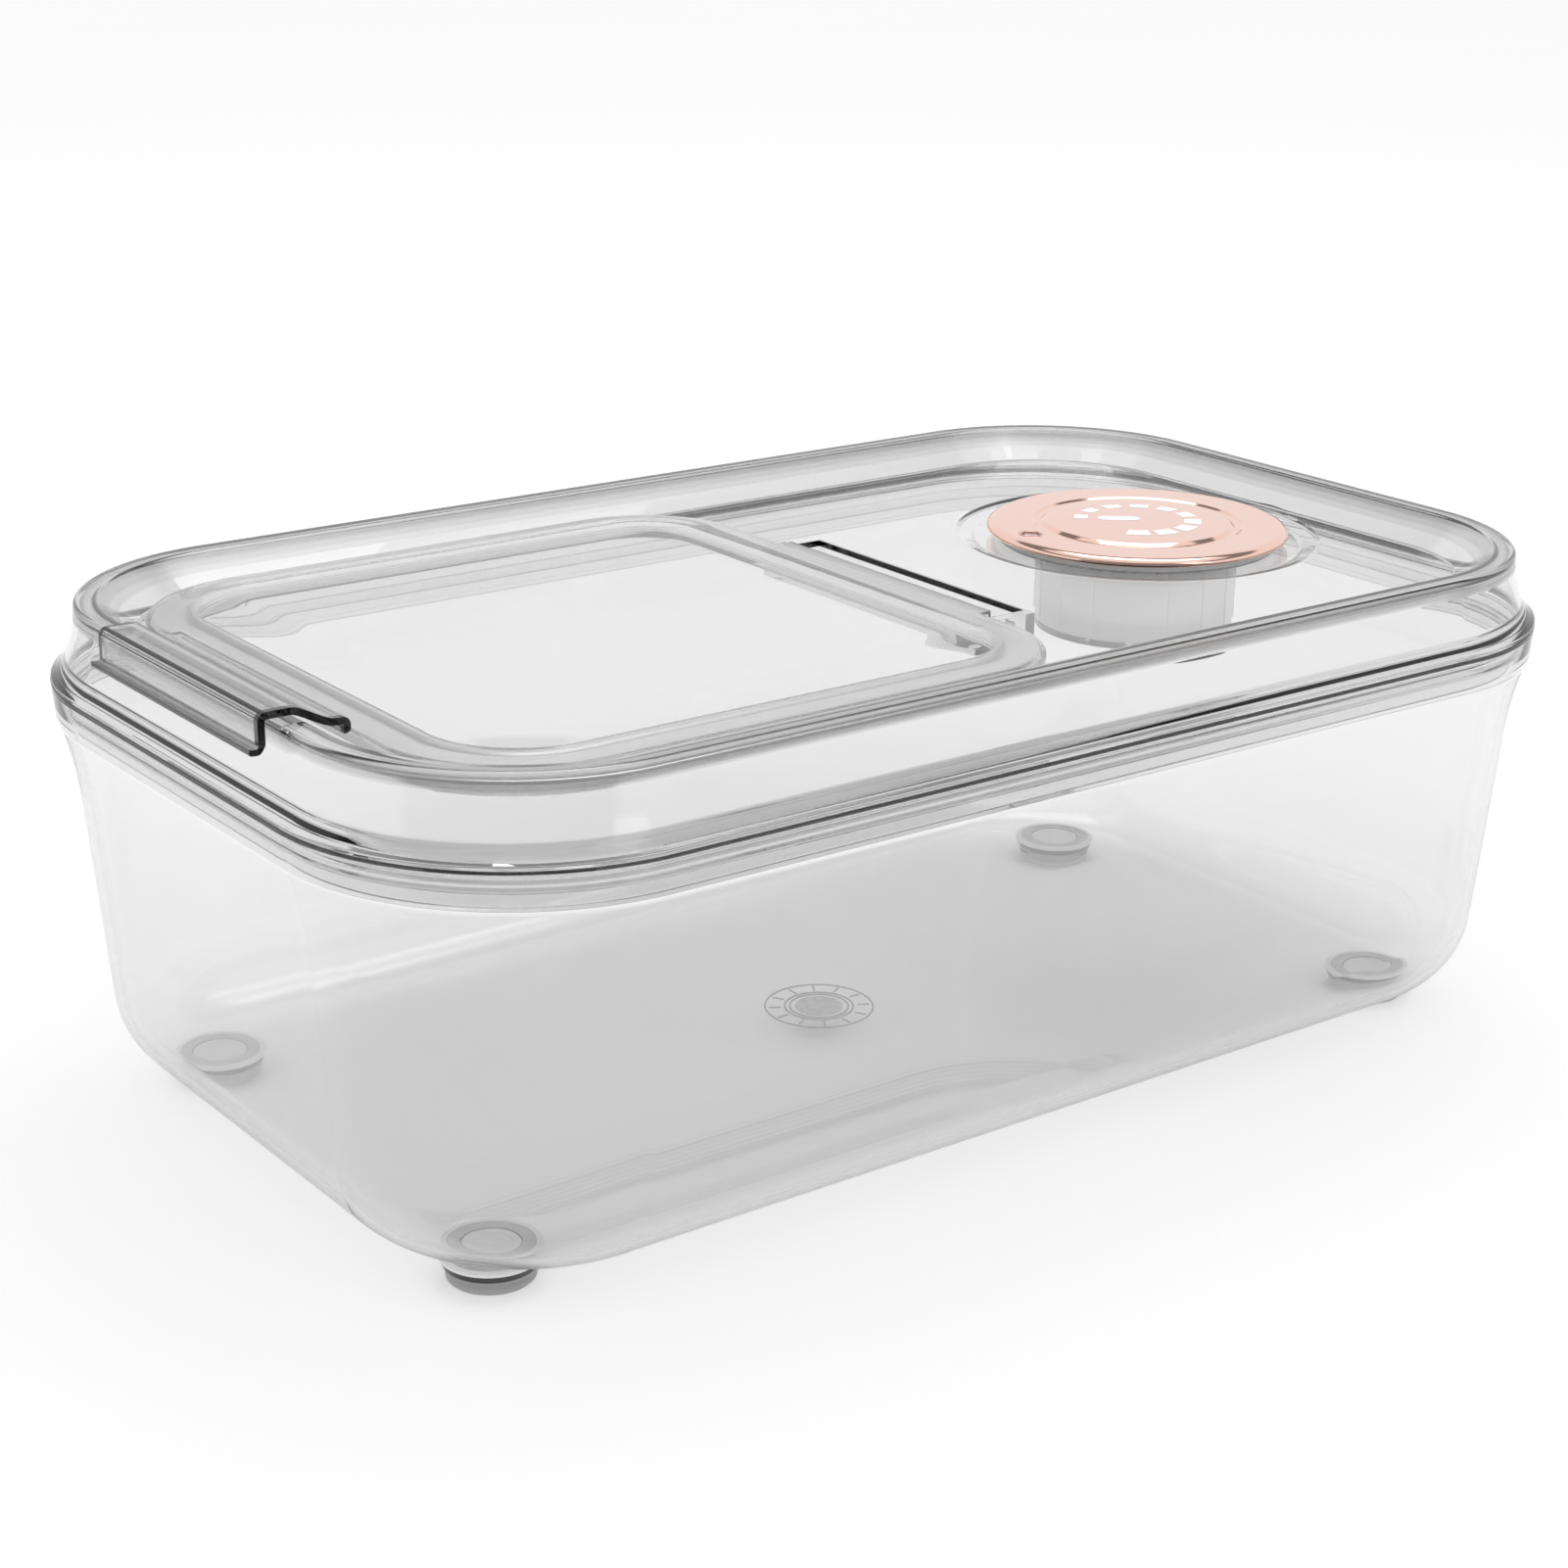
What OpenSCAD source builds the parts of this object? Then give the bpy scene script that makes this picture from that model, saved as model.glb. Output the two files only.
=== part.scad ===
// Clear grain bin with a lift-off lid, a hinged flip panel over the pouring mouth
// and a turning date dial on a drop-in desiccant cup. Millimetres, +Z up.
// The origin is on the table under the middle of the bin; the pull tab is at -Y.

/* [Overall] */
// Length of the bin over its seam
bin_length = 400; // [340:1:460]
// Width of the bin over its seam
bin_width = 246; // [222:1:300]
// Corner radius of the seam, seen from above
corner_radius = 66; // [62:1:76]
// Height of the seam between the tub and the lid
seam_height = 121.4; // [108:0.1:160]
// Gap between the floor of the tub and the table
foot_height = 7.2; // [6.5:0.1:12]

/* [Tub] */
// Thickness of the clear plastic walls
wall = 2.2; // [1.8:0.1:2.8]
// Radius between the walls and the floor
floor_fillet = 26; // [16:1:30]
// How far the straight wall leans out per millimetre of height
wall_lean = 0.0893; // [0.05:0.005:0.12]
// Height of the flared band under the collar
flare_height = 22; // [14:1:28]
// How far the flare leaves the line of the wall
flare_reach = 2.74; // [1.5:0.1:4]
// Height of the upright collar below the seam
collar_height = 9.6; // [8.5:0.1:14]
// How far the collar stands inside the seam at its foot
collar_inset = 1.1; // [0.8:0.1:1.6]
// Width of the shallow grip panel on the front of the collar
grip_panel_width = 88; // [60:1:120]
// Depth of the grip panel
grip_panel_depth = 0.5; // [0.3:0.1:0.8]
// Radius of the ringed mould mark on the floor
mark_radius = 16.1; // [12:0.1:20]

/* [Feet] */
// Distance of a foot's middle in from the side of the bin
foot_side_inset = 50.7; // [48:0.1:62]
// Distance of a foot's middle in from the end of the bin
foot_end_inset = 44.9; // [42:0.1:75]
// Diameter of the foot well under the floor
foot_well_d = 26.8; // [25:0.2:30]
// Diameter of a foot pad
foot_pad_d = 23.7; // [20:0.1:24.5]
// Thickness of a foot pad below the well
foot_pad_height = 4.2; // [3.6:0.1:5]
// Diameter of the stud that holds a pad
foot_stud_d = 12; // [8:0.5:14]

/* [Lid frame] */
// Height of the lid rim above the seam
lid_height = 21.1; // [19.5:0.1:26]
// Depth of the deck below the rim
deck_drop = 8.5; // [7:0.1:9.5]
// How far the rim stands inside the seam
rim_inset = 7.2; // [6:0.1:9]
// Width of the flat top of the rim
rim_width = 6.4; // [5:0.1:8]
// How far the edge of the deck lies inside the seam
deck_inset = 25; // [23:0.1:30]
// Height of the concave wall below the rim bead
lid_wall_height = 12.5; // [10:0.1:14]
// How far the lid wall spreads towards the flange
lid_wall_spread = 3.6; // [2:0.1:4.5]
// Rounding of the flange edge
flange_edge = 2.4; // [1.8:0.1:2.8]
// Depth of the skirt that drops into the tub
skirt_depth = 9.9; // [8.5:0.1:12]
// Height of the lid seal
lid_seal_height = 3.6; // [2.5:0.1:4.5]

/* [Flip panel] */
// Rear edge of the flip panel, measured from the middle of the bin
flip_rear_y = 15.5; // [5:0.5:24]
// Gap between the flip panel and the edge of the deck
flip_gap = 1; // [0.8:0.1:2]
// Corner radius at the hinge end of the flip panel
flip_rear_radius = 32; // [31:1:38]
// Height of the flip panel's middle above the deck
flip_height = 6.6; // [6.3:0.1:7]
// How far the flip panel falls from its middle to its edge
flip_crown = 3.1; // [2.6:0.1:3.3]
// Thickness of the flip panel
flip_wall = 2; // [1.6:0.1:2.2]
// Rounding of the flip panel's edge
flip_edge = 2.3; // [2.2:0.1:3]
// How far the pouring mouth lies inside the flip panel
mouth_inset = 13; // [11:0.5:18]
// Depth of the panel's inner skirt below the deck
flip_skirt_depth = 6; // [4:0.1:8]

/* [Pull tab] */
// Width of the pull tab
tab_width = 87; // [50:1:110]
// Thickness of the pull tab
tab_wall = 1.9; // [1.6:0.1:2.2]
// Height of the tab's crest above the rim
tab_rise = 3.0; // [2.9:0.1:4]
// How far the middle of the tab's drop stands outside the rim
tab_standoff = 3.1; // [2:0.1:3.2]
// Depth of the notch in the rim under the tab
notch_depth = 1.2; // [0.6:0.1:1.3]

/* [Hinge] */
// Width of the hinge pocket
pocket_width = 93; // [60:1:110]
// Rear edge of the hinge pocket, behind the flip panel
pocket_reach = 18.5; // [17:0.5:22]
// Depth of the hinge pocket
pocket_depth = 7.6; // [7.4:0.1:9]
// Diameter of the hinge pin
hinge_pin_d = 3; // [2.5:0.1:3.2]
// Outer diameter of the hinge barrel
hinge_barrel_d = 6; // [5.4:0.1:6.2]
// Distance of the hinge axis behind the flip panel
hinge_back = 6.5; // [6:0.1:7.5]

/* [Desiccant cup] */
// Distance of the dial's middle in from the rear of the bin
dial_end_inset = 80.6; // [80.4:0.2:88]
// Diameter of the dished ring in the deck
dish_d = 108.6; // [104:0.2:110]
// Depth of the dished ring
dish_depth = 1.8; // [1.2:0.1:2.2]
// Outer diameter of the desiccant cup
cup_d = 59.8; // [50:0.2:64]
// Depth of the cup below the deck
cup_depth = 28; // [20:0.5:40]
// Wall of the cup
cup_wall = 1.6; // [1.2:0.1:2]
// Number of ribs on the cup
cup_ribs = 16; // [8:1:24]
// Diameter of the cup's flange
cup_flange_d = 86; // [80:0.5:88]
// Thickness of the cup seal
cup_seal_height = 1; // [0.6:0.1:1.2]
// Height of the desiccant refill
refill_height = 16; // [6:0.5:18]
// Number of air slots in the vent cap
vent_slots = 12; // [6:1:16]

/* [Date dial] */
// Diameter of the dial
dial_d = 90.8; // [89:0.2:94]
// Height of the dial's top above the deck
dial_rise = 3.4; // [3.2:0.1:4.5]
// Thickness of the dial's cover
dial_wall = 1.2; // [1:0.1:1.4]
// Outer diameter of the groove round the middle disc
groove_d = 63.6; // [58:0.2:66]
// Diameter of the middle disc
insert_d = 58.4; // [50:0.2:60]
// Thickness of the middle disc
insert_height = 0.9; // [0.6:0.1:1.2]
// Distance of the date window from the dial's middle
window_radius = 37.6; // [37:0.2:39.4]
// Turn of the date window from the front, clockwise from above
window_turn = 10; // [0:5:355]
// Diameter of the date window
window_d = 5.4; // [4:0.1:6]
// Diameter of the dial's spindle
spindle_d = 10; // [8:0.1:12]
// Outer diameter of the number ring
number_ring_d = 84; // [83:0.2:86]
// Inner diameter of the number ring
number_ring_bore = 66; // [62:0.2:70]
// Thread diameter of the dial screw
screw_d = 3; // [2.5:0.1:4]
// Diameter of the washer under the dial
washer_d = 15; // [13:0.5:18]

/* [Fits] */
// Radial clearance of a turning shaft in its bore
running_fit = 0.05; // [0.03:0.01:0.08]
// Radial clearance of a pin that is held still
holding_fit = 0.01; // [0.01:0.005:0.02]
// Clearance between separate parts that only pass each other
pass_gap = 0.3; // [0.3:0.05:0.4]

/* [Hidden] */
$fn = 96;
merge = 0.01;        // overlap that joins two solids of one moulding
arc_steps = 8;       // straight steps in a moulded rounding
reach_out = 20;      // how far a cutting shape runs past what it cuts

clear_grey = [0.80, 0.82, 0.84, 0.45];
seal_grey = [0.86, 0.87, 0.88, 0.9];
pad_grey = [0.55, 0.56, 0.57];
rose_gold = [0.90, 0.66, 0.57];
steel = [0.75, 0.76, 0.78];

// --- heights and outlines shared by the parts ---
floor_top = foot_height + wall;
rim_z = seam_height + lid_height;
deck_z = rim_z - deck_drop;
deck_under = deck_z - wall;
corner_x = bin_width / 2 - corner_radius;
corner_y = bin_length / 2 - corner_radius;
seam_corners = even_corners(corner_x, corner_y, corner_radius);

// Corner list, counter-clockwise from the front right: centre x, centre y, radius
function even_corners(x, y, r) = [[x, -y, r], [x, y, r], [-x, y, r], [-x, -y, r]];

// Points of an arc about c from angle a0 to a1
function arc(c, r, a0, a1, n = arc_steps) =
    [for (i = [0:n]) c + r * [cos(a0 + (a1 - a0) * i / n), sin(a0 + (a1 - a0) * i / n)]];
function reversed(list) = [for (i = [len(list) - 1:-1:0]) list[i]];
function moved(list, by) = [for (p = list) p + by];

// A cross-section carried round a rounded rectangle. The points are
// [distance outside the outline, height].
module swept(points, corners) {
    for (k = [0:3]) {
        here = corners[k];
        next = corners[(k + 1) % 4];
        along = abs(k % 2 == 0 ? next[1] - here[1] : next[0] - here[0]);
        section = moved(points, [here[2], 0]);
        translate([here[0], here[1], 0]) {
            rotate([0, 0, 90 * k - 90])
                rotate_extrude(angle = 90)
                    polygon(section);
            rotate([0, 0, 90 * k])
                translate([0, along, 0])
                    rotate([90, 0, 0])
                        linear_extrude(along)
                            polygon(section);
        }
    }
}

// The flat rounded rectangle itself, grown by "grow"
module outline(corners, grow = 0) {
    polygon([for (k = [0:3]) for (a = [90 * k - 90, 90 * k])
        [corners[k][0] + (corners[k][2] + grow) * cos(a),
         corners[k][1] + (corners[k][2] + grow) * sin(a)]]);
    for (c = corners)
        translate([c[0], c[1]])
            circle(r = c[2] + grow);
}

module slab(corners, grow, z0, z1) {
    translate([0, 0, z0])
        linear_extrude(z1 - z0)
            outline(corners, grow);
}

module disc(r, z0, z1) {
    translate([0, 0, z0])
        cylinder(r = r, h = z1 - z0);
}

module ring(r_out, r_in, z0, z1) {
    difference() {
        disc(r_out, z0, z1);
        disc(r_in, z0 - reach_out, z1 + reach_out);
    }
}

module box(low, high) {
    translate(low)
        cube(high - low);
}

// --- tub ---
collar_foot_z = seam_height - collar_height;
flare_foot_z = collar_foot_z - flare_height;
collar_top_inset = 0.4;
collar_step = 0.3;
lean_angle = atan(wall_lean);
wall_inset_top = collar_inset + collar_step + flare_reach + wall_lean * flare_height;
flare_steps = 7;
fillet_z = foot_height + floor_fillet;
fillet_edge_z = fillet_z - floor_fillet * sin(lean_angle);
fillet_x = -wall_inset_top - wall_lean * (flare_foot_z - fillet_edge_z)
    - floor_fillet * cos(lean_angle);

// Flared band between the straight wall and the collar, bottom to top
flare_curve = [for (i = [0:flare_steps]) let (t = i / flare_steps)
    [-wall_inset_top + wall_lean * flare_height * t + flare_reach * t * t,
     flare_foot_z + flare_height * t]];
tub_outside = concat(
    [[-corner_radius, foot_height]],
    arc([fillet_x, fillet_z], floor_fillet, -90, -lean_angle),
    flare_curve,
    [[-collar_inset, collar_foot_z + collar_step], [-collar_top_inset, seam_height]]);
tub_inside = concat(
    [[-corner_radius, floor_top]],
    arc([fillet_x, fillet_z], floor_fillet - wall, -90, -lean_angle),
    moved(flare_curve, [-wall, 0]),
    [[-collar_top_inset - wall, seam_height]]);

mark_line = 0.5;
mark_relief = 0.3;
mark_rings = [1, 0.64, 0.55];
mark_disc = 0.44;
mark_ticks = 12;

foot_places = [for (sy = [-1, 1]) for (sx = [-1, 1])
    [sx * (bin_width / 2 - foot_side_inset), sy * (bin_length / 2 - foot_end_inset)]];
well_bottom_d = foot_pad_d + 1.2;
foot_dish_depth = 0.3;
foot_dish_bottom_d = 20.4;
foot_dish_top_d = 22.8;
stud_height = 1.3;
grip_panel_top = seam_height - 3;

// Moulded well that carries a foot pad
module foot_well() {
    difference() {
        translate([0, 0, foot_pad_height])
            cylinder(d1 = well_bottom_d, d2 = foot_well_d, h = floor_top - foot_pad_height - merge);
        disc(foot_stud_d / 2 + holding_fit, -reach_out, foot_pad_height + stud_height);
    }
}

// Faint dish in the floor above a foot
module foot_dish() {
    translate([0, 0, floor_top - foot_dish_depth])
        cylinder(d1 = foot_dish_bottom_d, d2 = foot_dish_top_d, h = foot_dish_depth + merge);
}

module mould_mark() {
    for (s = mark_rings)
        ring(mark_radius * s, mark_radius * s - mark_line, foot_height - mark_relief, foot_height + merge);
    disc(mark_radius * mark_disc, foot_height - mark_relief, foot_height + merge);
    for (i = [0:mark_ticks - 1])
        rotate([0, 0, 360 / mark_ticks * i])
            box([mark_radius * mark_rings[1] - mark_line, -mark_line / 2, foot_height - mark_relief],
                [mark_radius - mark_line / 2, mark_line / 2, foot_height + merge]);
}

module bin_body() {
    color(clear_grey)
    difference() {
        union() {
            swept(concat(tub_outside, reversed(tub_inside)), seam_corners);
            box([-corner_x, -corner_y, foot_height], [corner_x, corner_y, floor_top]);
            for (p = foot_places)
                translate(p)
                    foot_well();
            mould_mark();
        }
        for (p = foot_places)
            translate(p)
                foot_dish();
        box([-grip_panel_width / 2, -bin_length / 2 - reach_out, collar_foot_z + collar_step],
            [grip_panel_width / 2, -bin_length / 2 + collar_inset + grip_panel_depth, grip_panel_top]);
    }
}

// --- foot pads ---
pad_edge = 0.6;

module foot_pad(index) {
    color(pad_grey)
    translate(foot_places[index]) {
        cylinder(d1 = foot_pad_d - 2 * pad_edge, d2 = foot_pad_d, h = pad_edge);
        disc(foot_pad_d / 2, pad_edge, foot_pad_height);
        disc(foot_stud_d / 2, foot_pad_height - merge, foot_pad_height + stud_height - merge);
    }
}

// --- lid frame ---
bead_z = rim_z - 4;
bead_out = 0.2;
rim_edge = 1.3;
wall_curve_power = 1.6;
wall_steps = 7;
skirt_top_inset = collar_top_inset + wall + 1.7;
skirt_wall = 2;
skirt_taper = 0.7;
seal_bite = 0.9;
seal_z = seam_height - 2.4;
flange_arc_end = 60;
flange_lift = 0.5;
deck_fillet = [1.2, 0.7];

// Concave outer wall of the lid, from the flange up to the rim bead
lid_wall_curve = [for (i = [0:wall_steps]) let (t = 1 - i / wall_steps)
    [-rim_inset + lid_wall_spread * pow(t, wall_curve_power), bead_z - lid_wall_height * t]];
rim_inner = -rim_inset - rim_width;
slope_under = 1.25;
slope_thicker = 0.4;
lid_outside = concat(
    [[-skirt_top_inset, seam_height], [0, seam_height]],
    arc([-flange_edge, seam_height + flange_lift], flange_edge, 0, flange_arc_end),
    lid_wall_curve,
    arc([-rim_inset - bead_out - rim_edge, rim_z - rim_edge], rim_edge, 0, 90),
    arc([rim_inner + rim_edge, rim_z - rim_edge], rim_edge, 90, 140, 3),
    [[-deck_inset, deck_z] + deck_fillet, [-deck_inset, deck_z]]);
lid_inside = concat(
    [[-deck_inset, deck_under], [-deck_inset + slope_under + slope_thicker, deck_under],
     [rim_inner + slope_under, rim_z - wall], [-rim_inset - wall - bead_out, rim_z - wall]],
    reversed(moved(lid_wall_curve, [-wall, 0])),
    [[-skirt_top_inset - skirt_wall, seam_height],
     [-skirt_top_inset - skirt_wall - skirt_taper / 2, seam_height - skirt_depth],
     [-skirt_top_inset - skirt_taper, seam_height - skirt_depth]]);

flip_half_width = bin_width / 2 - deck_inset - flip_gap;
flip_front_y = -(bin_length / 2 - deck_inset - flip_gap);
flip_front_radius = corner_radius - deck_inset - flip_gap;
flip_corners = [
    [flip_half_width - flip_front_radius, flip_front_y + flip_front_radius, flip_front_radius],
    [flip_half_width - flip_rear_radius, flip_rear_y - flip_rear_radius, flip_rear_radius],
    [flip_rear_radius - flip_half_width, flip_rear_y - flip_rear_radius, flip_rear_radius],
    [flip_front_radius - flip_half_width, flip_front_y + flip_front_radius, flip_front_radius]];

pocket_front_gap = 2;
pocket_front_y = flip_rear_y + pocket_front_gap;
pocket_rear_y = flip_rear_y + pocket_reach;
pocket_floor = deck_z - pocket_depth;
hinge_y = flip_rear_y + hinge_back;
barrel_drop = 0.5;
hinge_z = deck_z - hinge_barrel_d / 2 - barrel_drop;
boss_length = 6;
boss_d = hinge_pin_d + 2 * wall;
notch_margin = 3;
notch_run_in = 2;
dial_y = bin_length / 2 - dial_end_inset;
hole_gap = 1.7;
hole_d = cup_d + 2 * hole_gap;
dish_floor = deck_z - dish_depth;
dish_slope = 5;

module along_x(x0, x1, d) {
    translate([x0, hinge_y, hinge_z])
        rotate([0, 90, 0])
            cylinder(d = d, h = x1 - x0);
}

// Dished seat in the deck that holds the cup's flange
module dial_seat() {
    translate([0, dial_y, 0])
        difference() {
            union() {
                translate([0, 0, dish_floor - wall])
                    cylinder(d1 = dish_d - 2 * dish_slope, d2 = dish_d, h = dish_depth);
                disc(dish_d / 2, deck_under, deck_z);
            }
            translate([0, 0, dish_floor])
                cylinder(d1 = dish_d - 2 * dish_slope, d2 = dish_d, h = dish_depth);
            disc(dish_d / 2, deck_z, deck_z + reach_out);
            disc(hole_d / 2, -reach_out, deck_z + reach_out);
        }
}

module hinge_pocket() {
    half = pocket_width / 2;
    box([-half - wall, pocket_front_y - wall, pocket_floor - wall],
        [half + wall, pocket_rear_y + wall, deck_z - merge]);
    for (side = [0, 1])
        mirror([side, 0, 0]) {
            along_x(half + merge, half + boss_length, boss_d);
            box([half + merge, hinge_y - boss_d / 2, hinge_z],
                [half + boss_length, hinge_y + boss_d / 2, deck_z - merge]);
        }
}

module lid_frame() {
    half = pocket_width / 2;
    color(clear_grey)
    difference() {
        union() {
            swept(concat(lid_outside, lid_inside), seam_corners);
            difference() {
                slab(seam_corners, -deck_inset + merge, deck_under, deck_z);
                translate([0, dial_y, 0])
                    disc(dish_d / 2 - merge, deck_under - reach_out, deck_z + reach_out);
            }
            dial_seat();
            hinge_pocket();
        }
        slab(flip_corners, -mouth_inset, deck_under - reach_out, deck_z + reach_out);
        box([-half, pocket_front_y, pocket_floor], [half, pocket_rear_y, deck_z + reach_out]);
        along_x(-half - boss_length - reach_out, half + boss_length + reach_out,
            hinge_pin_d + 2 * holding_fit);
        box([-tab_width / 2 - notch_margin, -bin_length / 2, rim_z - notch_depth],
            [tab_width / 2 + notch_margin, -bin_length / 2 - rim_inner + notch_run_in, rim_z + reach_out]);
        swept(seal_groove, seam_corners);
    }
}

// --- lid seal ---
seal_groove = [
    [-skirt_top_inset - seal_bite, seal_z - lid_seal_height],
    [-skirt_top_inset + wall, seal_z - lid_seal_height],
    [-skirt_top_inset + wall, seal_z], [-skirt_top_inset - seal_bite, seal_z]];

// How far the inside of the collar lies inside the seam at a height
function collar_bore_inset(z) = collar_top_inset + wall
    + (collar_inset + collar_step - collar_top_inset) * (seam_height - z) / collar_height;

module lid_gasket() {
    tip = lid_seal_height / 3;
    seal_lip = collar_bore_inset(seal_z - lid_seal_height + tip) + pass_gap;
    color(seal_grey)
    swept([
        [-skirt_top_inset - seal_bite, seal_z - lid_seal_height],
        [-seal_lip - tip / 2, seal_z - lid_seal_height],
        [-seal_lip, seal_z - lid_seal_height + tip], [-seal_lip, seal_z - tip],
        [-seal_lip - tip / 2, seal_z], [-skirt_top_inset - seal_bite, seal_z]], seam_corners);
}

// --- flip panel ---
flip_low_z = deck_z + 0.5;
flip_under_step = 0.3;
skirt_gap = 1.2;
flip_top_z = deck_z + flip_height;
flip_edge_z = flip_top_z - flip_crown;
crown_run = 27;
crown_power = 1.5;
crown_steps = 9;
flip_skirt_inset = mouth_inset + skirt_gap;

// Height of the panel's top at a distance in from its edge
function panel_z(d) =
    let (t = max(0, min(1, (d - flip_edge) / crown_run)))
    flip_top_z - flip_crown * pow((1 + cos(180 * t)) / 2, crown_power);

// The skirt ends in the middle of the panel's thickness
function skirt_top(d) = panel_z(d) - flip_wall / 2;

// The crowned top from the edge inwards
crown_curve = [for (i = [0:crown_steps])
    let (d = flip_edge + crown_run * i / crown_steps)
    [-d, panel_z(d)]];
flip_shell = concat(
    [[0, flip_low_z], [0, flip_edge_z - flip_edge]],
    arc([-flip_edge, flip_edge_z - flip_edge], flip_edge, 0, 75, 5),
    crown_curve,
    reversed(moved(crown_curve, [0, -flip_wall])),
    [[-flip_wall, flip_edge_z - flip_wall - flip_under_step], [-flip_wall, flip_low_z]]);

// Centre line of the pull tab as [y, z]: up from the panel's edge, over the rim
// and down outside it to a curled lip
rim_front_y = -(bin_length / 2 - rim_inset);
crest_z = rim_z + tab_rise - tab_wall / 2;
tab_outer_y = rim_front_y - tab_standoff;
tab_root_z = crest_z - 4.8;
tab_corner = 0.8;
tab_path = [
    [flip_front_y + 0.4, flip_edge_z - 1.4], [flip_front_y + 0.4, tab_root_z], [flip_front_y - 4, tab_root_z],
    [rim_front_y + 5.5, crest_z], [tab_outer_y + tab_corner, crest_z], [tab_outer_y, crest_z - tab_corner],
    [tab_outer_y, crest_z - 7.1], [tab_outer_y - 1.2, crest_z - 8.1], [tab_outer_y - 3, crest_z - 8.2]];

function unit(v) = v / norm(v);
function leftwards(v) = [-v[1], v[0]];
// Normal of a path at point i, long enough to keep the thickness even at a bend
function path_normal(path, i) =
    let (a = unit(path[max(i, 1)] - path[max(i, 1) - 1]),
         b = unit(path[min(i, len(path) - 2) + 1] - path[min(i, len(path) - 2)]),
         n = unit(leftwards(a) + leftwards(b)))
    n / (n * leftwards(a));
function ribbon(path, t) = concat(
    [for (i = [0:len(path) - 1]) path[i] + path_normal(path, i) * t / 2],
    [for (i = [len(path) - 1:-1:0]) path[i] - path_normal(path, i) * t / 2]);

// A [y, z] outline drawn out along X between two places
module drawn_x(x0, x1, points) {
    translate([x0, 0, 0])
        rotate([90, 0, 90])
            linear_extrude(x1 - x0)
                polygon(points);
}

hinge_side_gap = 1;
web_wall = 2;
web_low_z = flip_low_z + 0.1;
web_root_y = flip_rear_y - flip_wall - 1;
web_foot_z = hinge_z + hinge_pin_d / 2 + 0.4;

module hinge_barrel() {
    half = pocket_width / 2 - hinge_side_gap;
    difference() {
        union() {
            along_x(-half, half, hinge_barrel_d);
            box([-half, web_root_y, web_low_z],
                [half, hinge_y + web_wall / 2, web_low_z + web_wall]);
            box([-half, hinge_y - web_wall / 2, web_foot_z],
                [half, hinge_y + web_wall / 2, web_low_z + web_wall]);
        }
        along_x(-half - reach_out, half + reach_out, hinge_pin_d + 2 * running_fit);
    }
}

module flip_lid() {
    skirt_low_z = deck_z - flip_skirt_depth;
    color(clear_grey)
    union() {
        swept(flip_shell, flip_corners);
        slab(flip_corners, -flip_edge - crown_run + merge, flip_top_z - flip_wall, flip_top_z);
        swept([[-flip_skirt_inset, skirt_top(flip_skirt_inset)], [-flip_skirt_inset, skirt_low_z],
               [-flip_skirt_inset - flip_wall, skirt_low_z],
               [-flip_skirt_inset - flip_wall, skirt_top(flip_skirt_inset + flip_wall)]], flip_corners);
        drawn_x(-tab_width / 2, tab_width / 2, ribbon(tab_path, tab_wall));
        hinge_barrel();
    }
}

// --- flip panel seal ---
flip_seal_width = 4;

module flip_gasket() {
    seal_top = panel_z(flip_skirt_inset - flip_seal_width / 2) - flip_wall - pass_gap;
    color(seal_grey)
    swept([[-flip_skirt_inset, deck_z + pass_gap], [-flip_skirt_inset + flip_seal_width, deck_z + pass_gap],
           [-flip_skirt_inset + flip_seal_width / 2, seal_top], [-flip_skirt_inset, seal_top]], flip_corners);
}

// --- hinge pin ---
module hinge_pin() {
    half = pocket_width / 2 + boss_length;
    color(clear_grey)
    along_x(-half, half, hinge_pin_d);
}

// --- desiccant cup and its vent cap ---
cup_bottom = deck_z - cup_depth;
flange_low = dish_floor + cup_seal_height;
flange_wall = 1.4;
flange_top = flange_low + flange_wall;
cup_bore = cup_d / 2 - cup_wall;
rib_width = 1.2;
rib_relief = 0.5;
rib_foot = 1.5;
seal_margin = 1;
vent_wall = 2;
vent_plug_height = 5;
vent_plug_wall = 1.5;
refill_side_gap = 2.2;
grip_height = 3;
grip_length = 34;
grip_width = 4;
slot_width = 2;
slot_in = 9;
slot_out = 24;

module at_dial() {
    translate([0, dial_y, 0])
        children();
}

module desiccant_cup() {
    color(clear_grey)
    at_dial()
    difference() {
        union() {
            disc(cup_d / 2, cup_bottom, flange_top);
            disc(cup_flange_d / 2, flange_low, flange_top);
            for (i = [0:cup_ribs - 1])
                rotate([0, 0, 360 / cup_ribs * i])
                    box([cup_d / 2 - cup_wall / 2, -rib_width / 2, cup_bottom + rib_foot],
                        [cup_d / 2 + rib_relief, rib_width / 2, flange_low + merge]);
        }
        disc(cup_bore, cup_bottom - reach_out, flange_top + reach_out);
    }
}

module cup_gasket() {
    color(seal_grey)
    at_dial()
    ring(cup_flange_d / 2 - seal_margin, hole_d / 2 + seal_margin, dish_floor, flange_low);
}

module vent_cap() {
    plug_r = cup_bore - pass_gap;
    color(pad_grey)
    at_dial()
    difference() {
        union() {
            disc(cup_d / 2, cup_bottom - vent_wall, cup_bottom);
            ring(plug_r, plug_r - vent_plug_wall, cup_bottom - merge, cup_bottom + vent_plug_height);
            box([-grip_length / 2, -grip_width / 2, cup_bottom - vent_wall - grip_height],
                [grip_length / 2, grip_width / 2, cup_bottom - vent_wall + merge]);
        }
        for (i = [0:vent_slots - 1])
            rotate([0, 0, 360 / vent_slots * (i + 0.5)])
                box([slot_in, -slot_width / 2, cup_bottom - vent_wall - merge],
                    [slot_out, slot_width / 2, cup_bottom + merge]);
    }
}

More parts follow.
